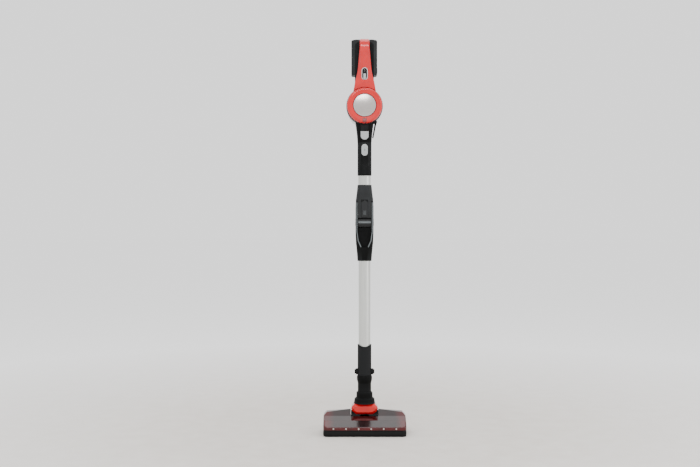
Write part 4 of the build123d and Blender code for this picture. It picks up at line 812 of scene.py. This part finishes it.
class VACUUM_OT_head(VacuumOperator, bpy.types.Operator):
    """Bumper, tyres and screw recesses of the floor head, the recesses drawn as flat dark marks of
    painted shade
    """
    bl_idname = "vacuum.head"
    bl_label = "Floor head"

    def build(self, look, sizes):
        rubber = material_named("moulded rubber")
        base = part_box("head_base")
        half_x, front, back = base[1][0], base[0][1], base[1][1]
        corner = 12.5 * MM
        level = 10 * MM
        stations = []
        side_end = back - 16 * MM
        count = 12
        for side in (-1, 1):
            arc = []
            arc.append((Vector((side * half_x, side_end, level)), Vector((side, 0, 0))))
            arc.append((Vector((side * half_x, front + corner, level)), Vector((side, 0, 0))))
            for i in range(1, count + 1):
                turn = math.pi / 2 * i / count
                outward = Vector((side * math.cos(turn), -math.sin(turn), 0))
                hub = Vector((side * (half_x - corner), front + corner, level))
                arc.append((hub + outward * corner, outward))
            stations += arc if side < 0 else arc[::-1]
        stations = [(point, outward, Vector((0, 0, 1))) for point, outward in stations]
        profile = [(-1.0, -5.5), (0.2, -5.5), (0.4, -5.0), (0.42, 0), (0.4, 5.0), (0.2, 5.5),
                   (-1.0, 5.5)]
        sweep("bumper", stations, [(x * MM, y * MM) for x, y in profile], "head", rubber)
        for node, body in (("wheel_left", "wheel_left"), ("wheel_right", "wheel_right")):
            self.wheel(node, body)
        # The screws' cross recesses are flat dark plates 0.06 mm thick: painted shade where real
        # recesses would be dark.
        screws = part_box("sole_screws")
        for side in (-1, 1):
            hub = Vector((side * (screws[1][0] - 3.4 * MM), middle("sole_screws").y, screws[0][2]))
            for turned in (False, True):
                right = Vector((1, 0, 0)) if turned else Vector((0, 1, 0))
                up = Vector((0, -1, 0)) if turned else Vector((1, 0, 0))
                slab(f"screw_recess_shade_{side}_{turned}", oval(2.1 * MM, 0.45 * MM, 3), 0.06 * MM,
                     (hub, right, up), "head", material_named("polished black acrylic"))

    def wheel(self, node, body):
        """A grooved rubber tyre on a nylon hub."""
        low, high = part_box(node)
        radius = (high[2] - low[2]) / 2
        centre = middle(node)
        half = 4.9 * MM
        axis_x = WHEEL_X * (-1 if centre.x < 0 else 1)
        hub_at = Vector((axis_x, centre.y, centre.z))
        tyre = [(radius - 3.2 * MM, -half), (radius - 0.7 * MM, -half), (radius, -half + 0.7 * MM)]
        for i in range(-2, 3):
            mid = i * 1.6 * MM
            tyre += [(radius, mid - 0.45 * MM), (radius - 0.45 * MM, mid - 0.25 * MM),
                     (radius - 0.45 * MM, mid + 0.25 * MM), (radius, mid + 0.45 * MM)]
        tyre += [(radius, half - 0.7 * MM), (radius - 0.7 * MM, half), (radius - 3.2 * MM, half)]
        made = lathe(f"{node}_tyre", tyre, hub_at, (1, 0, 0), body,
                     material_named("moulded rubber"), steps=64)
        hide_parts(node)
        hub = [(2.0 * MM, -half), (4.6 * MM, -half), (5.0 * MM, -half + 0.9 * MM),
               (5.9 * MM, -half + 0.9 * MM), (5.9 * MM, half - 0.9 * MM), (5.0 * MM, half - 0.9 * MM),
               (4.6 * MM, half), (2.0 * MM, half)]
        lathe(f"{node}_hub", hub, hub_at, (1, 0, 0), body, material_named("moulded nylon"), steps=48)
        reach = extent(node).x / 2
        axle = [(0.01 * MM, -reach), (1.7 * MM, -reach), (2.1 * MM, -reach + 0.4 * MM),
                (2.1 * MM, reach - 0.4 * MM), (1.7 * MM, reach), (0.01 * MM, reach)]
        lathe(f"{node}_axle", axle, centre, (1, 0, 0), body, material_named("turned steel"), steps=32)


class VACUUM_OT_bristles(VacuumOperator, bpy.types.Operator):
    """Helical rows of nylon tufts on the brush roll"""
    bl_idname = "vacuum.bristles"
    bl_label = "Brush bristles"

    def build(self, look, sizes):
        rng = random.Random(7)
        box_low, box_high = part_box("brush_bristles")
        axis = middle("brush_bristles")
        core = extent("brush_core").z / 2
        length = box_high[0] - box_low[0] - 4 * MM
        tufts = int(length / sizes.tuft_pitch)
        points, faces = [], []
        for row in range(sizes.rows):
            for i in range(tufts + 1):
                along = i / tufts - 0.5
                x = axis.x + along * length
                turn = 2 * math.pi * row / sizes.rows + abs(along) * math.radians(150)
                spoke = Vector((0, math.cos(turn), math.sin(turn)))
                across = Vector((0, -math.sin(turn), math.cos(turn)))
                for _ in range(sizes.strands):
                    lean = rng.uniform(-1, 1)
                    shift = rng.uniform(-1, 1)
                    reach = sizes.tip_radius - rng.uniform(0, 0.9) * MM
                    foot = Vector((x + lean * 0.8 * MM, axis.y, axis.z)) + across * shift * 0.9 * MM
                    ends = [(foot + spoke * (core - 0.6 * MM), 0.16 * MM),
                            (foot + spoke * (core + reach) / 2 + across * shift * 0.3 * MM, 0.14 * MM),
                            (foot + Vector((lean * 1.1 * MM, 0, 0)) + across * shift * 1.3 * MM
                             + spoke * (reach - 0.15 * MM), 0.09 * MM)]
                    start = len(points)
                    for spot, thick in ends:
                        for k in range(3):
                            around = 2 * math.pi * k / 3
                            points.append(spot + Vector((1, 0, 0)) * thick * math.cos(around)
                                          + across * thick * math.sin(around))
                    for ring in range(2):
                        for k in range(3):
                            m = (k + 1) % 3
                            low = start + ring * 3
                            faces.append((low + k, low + m, low + 3 + m, low + 3 + k))
                    faces.append((start + 6, start + 7, start + 8))
        made = place("bristle_tufts", mesh_of("bristle_tufts", points, faces), "brush",
                     material_named("nylon bristle"), 180)
        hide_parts("brush_bristles")


class VACUUM_OT_battery(VacuumOperator, bpy.types.Operator):
    """Parting line, vents, charge lamps and latch ribs of the battery; the vents are flat dark marks of
    painted shade
    """
    bl_idname = "vacuum.battery"
    bl_label = "Battery"

    def build(self, look, sizes):
        dark = material_named("polished black acrylic")
        lamp = material_named("clear lamp lens")
        low, high = [Vector(corner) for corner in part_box("battery_shell")]
        line_z = low.z + 82 * MM
        runs = {
            "back": ([(low.x + 6 * MM, 0, line_z), (high.x - 6 * MM, 0, line_z)], (0, -1, 0)),
            "left": ([(0, low.y + 14 * MM, line_z), (0, high.y - 6 * MM, line_z)], (1, 0, 0)),
            "right": ([(0, low.y + 14 * MM, line_z), (0, high.y - 6 * MM, line_z)], (-1, 0, 0)),
        }
        for name, (path, toward) in runs.items():
            seam(f"battery_seam_{name}", "battery_shell", path, toward, sizes.seam_mm, "battery", dark)
        for i in range(4):
            slab(f"charge_lamp_{i}", oval(1.5 * MM, 1.0 * MM, 6), 0.25 * MM,
                 back_plane((i - 1.5) * 7 * MM, high.y - 0.3 * MM, low.z + 70 * MM), "battery", lamp,
                 0.1 * MM)
        # The vent slots are flat dark plates 0.1 mm proud: painted shade where real slots would be dark.
        for i in range(6):
            slab(f"battery_vent_shade_{i}", oval(9 * MM, 0.9 * MM, 4), 0.1 * MM,
                 back_plane(0, high.y - 0.09 * MM, low.z + (32 + i * 4) * MM), "battery", dark)
        latch_low, latch_high = [Vector(corner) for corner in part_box("battery_latch")]
        side = Vector((latch_high.x - 0.02 * MM, (latch_low.y + latch_high.y) / 2, 0))
        for i in range(4):
            at = Vector((side.x, side.y, latch_low.z + (3.6 + i * 2.6) * MM))
            slab(f"latch_rib_{i}", oval(5.4 * MM, 0.55 * MM, 4), 0.3 * MM,
                 (at, Vector((0, 1, 0)), Vector((0, 0, 1))), "battery_latch",
                 material_named("glass-filled nylon"), 0.15 * MM)


class VACUUM_OT_container(VacuumOperator, bpy.types.Operator):
    """Ribs on the container's lid and its fill line"""
    bl_idname = "vacuum.container"
    bl_label = "Dust container"

    def build(self, look, sizes):
        black = material_named("spark-textured black ABS")
        low, high = [Vector(corner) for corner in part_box("container_lid")]
        centre = middle("disc_cap")
        radius = (high.x - low.x) / 2
        tree = surface("container_lid")
        face = tree.ray_cast(Vector((0.02, 0.3, centre.z + 0.01)), Vector((0, -1, 0)))[0].y
        room = high.y - face
        rise = min(0.8 * MM, max(0.25 * MM, room - 0.05 * MM))
        hub = Vector((centre.x, face - 0.2 * MM, centre.z))
        for reach in (radius - 9 * MM, radius - 22 * MM):
            ring = [(reach - 1.0 * MM, 0), (reach - 0.8 * MM, rise), (reach + 0.8 * MM, rise),
                    (reach + 1.0 * MM, 0)]
            lathe(f"lid_ring_{round(reach / MM)}", ring, hub, (0, 1, 0), "container_lid", black)
        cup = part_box("dust_container")
        line_y = cup[0][1] + 34 * MM
        for side in (-1, 1):
            path = [Vector((0, line_y, centre.z + dz * MM)) for dz in (-9, 9)]
            seam(f"fill_line_{side}", "dust_container", path, (-side, 0, 0), 0.9, "container",
                 material_named("silver metallic lacquer"))


class VACUUM_OT_stage(VacuumOperator, bpy.types.Operator):
    """Pale floor, soft studio light and the camera"""
    bl_idname = "vacuum.stage"
    bl_label = "Stage"

    def build(self, look, sizes):
        scene = bpy.context.scene
        corners = [(-40, -40, 0), (40, -40, 0), (40, 40, 0), (-40, 40, 0)]
        floor_mesh = mesh_of("floor", corners, [(0, 1, 2, 3)])
        floor_mesh.materials.append(floor_with_painted_light(look))
        floor = bpy.data.objects.new("floor", floor_mesh)
        floor.location.z = -0.2 * MM
        scene.collection.objects.link(floor)
        world = bpy.data.worlds.new("studio")
        world.use_nodes = True
        world.node_tree.nodes["Background"].inputs["Color"].default_value = linear("#ffffff")
        world.node_tree.nodes["Background"].inputs["Strength"].default_value = 1.5
        scene.world = world
        for name, spot, aim, width, height, power in (
            ("key light", (-0.4, -3.1, 2.7), (0, 0, 1.0), 1.7, 0.9, 60),
            ("side light", (2.2, -1.2, 1.2), (0, 0, 0.7), 0.5, 2.2, 16),
            ("top light", (0.2, 0.4, 3.0), (0, 0, 0.5), 1.6, 1.6, 22),
        ):
            lamp = bpy.data.lights.new(name, "AREA")
            lamp.shape = "RECTANGLE"
            lamp.size, lamp.size_y = width, height
            lamp.energy = power
            obj = bpy.data.objects.new(name, lamp)
            obj.location = spot
            obj.rotation_euler = (Vector(aim) - Vector(spot)).to_track_quat("-Z", "Y").to_euler()
            scene.collection.objects.link(obj)
        view = bpy.data.cameras.new("camera")
        view.lens = sizes.lens
        view.sensor_width = 36
        view.clip_start, view.clip_end = 0.05, 200
        camera = bpy.data.objects.new("camera", view)
        camera.location = sizes.camera
        camera.rotation_euler = (math.pi / 2 - sizes.camera_dip, 0, 0)
        scene.collection.objects.link(camera)
        scene.camera = camera


STEPS = (
    VACUUM_OT_finishes, VACUUM_OT_drum, VACUUM_OT_handle, VACUUM_OT_wand, VACUUM_OT_head,
    VACUUM_OT_bristles, VACUUM_OT_battery, VACUUM_OT_container, VACUUM_OT_stage,
)


class VACUUM_PT_panel(bpy.types.Panel):
    """Settings and steps of the stick vacuum"""
    bl_idname = "VACUUM_PT_panel"
    bl_label = "Stick vacuum"
    bl_space_type = "VIEW_3D"
    bl_region_type = "UI"
    bl_category = "Vacuum"

    def draw(self, context):
        column = self.layout.column()
        for group in (context.scene.vacuum_look, context.scene.vacuum_sizes):
            for name in group.__annotations__:
                column.prop(group, name)
        for step in STEPS:
            column.operator(step.bl_idname)


CLASSES = (VacuumLook, VacuumSizes, *STEPS, VACUUM_PT_panel)


def register():
    for made in CLASSES:
        bpy.utils.register_class(made)
    bpy.types.Scene.vacuum_look = PointerProperty(type=VacuumLook)
    bpy.types.Scene.vacuum_sizes = PointerProperty(type=VacuumSizes)


def unregister():
    del bpy.types.Scene.vacuum_sizes
    del bpy.types.Scene.vacuum_look
    for made in reversed(CLASSES):
        bpy.utils.unregister_class(made)


def main():
    """Registers the add-on and runs its steps in order."""
    register()
    for step in STEPS:
        group, name = step.bl_idname.split(".")
        getattr(getattr(bpy.ops, group), name)()


if __name__ == "__main__":
    main()
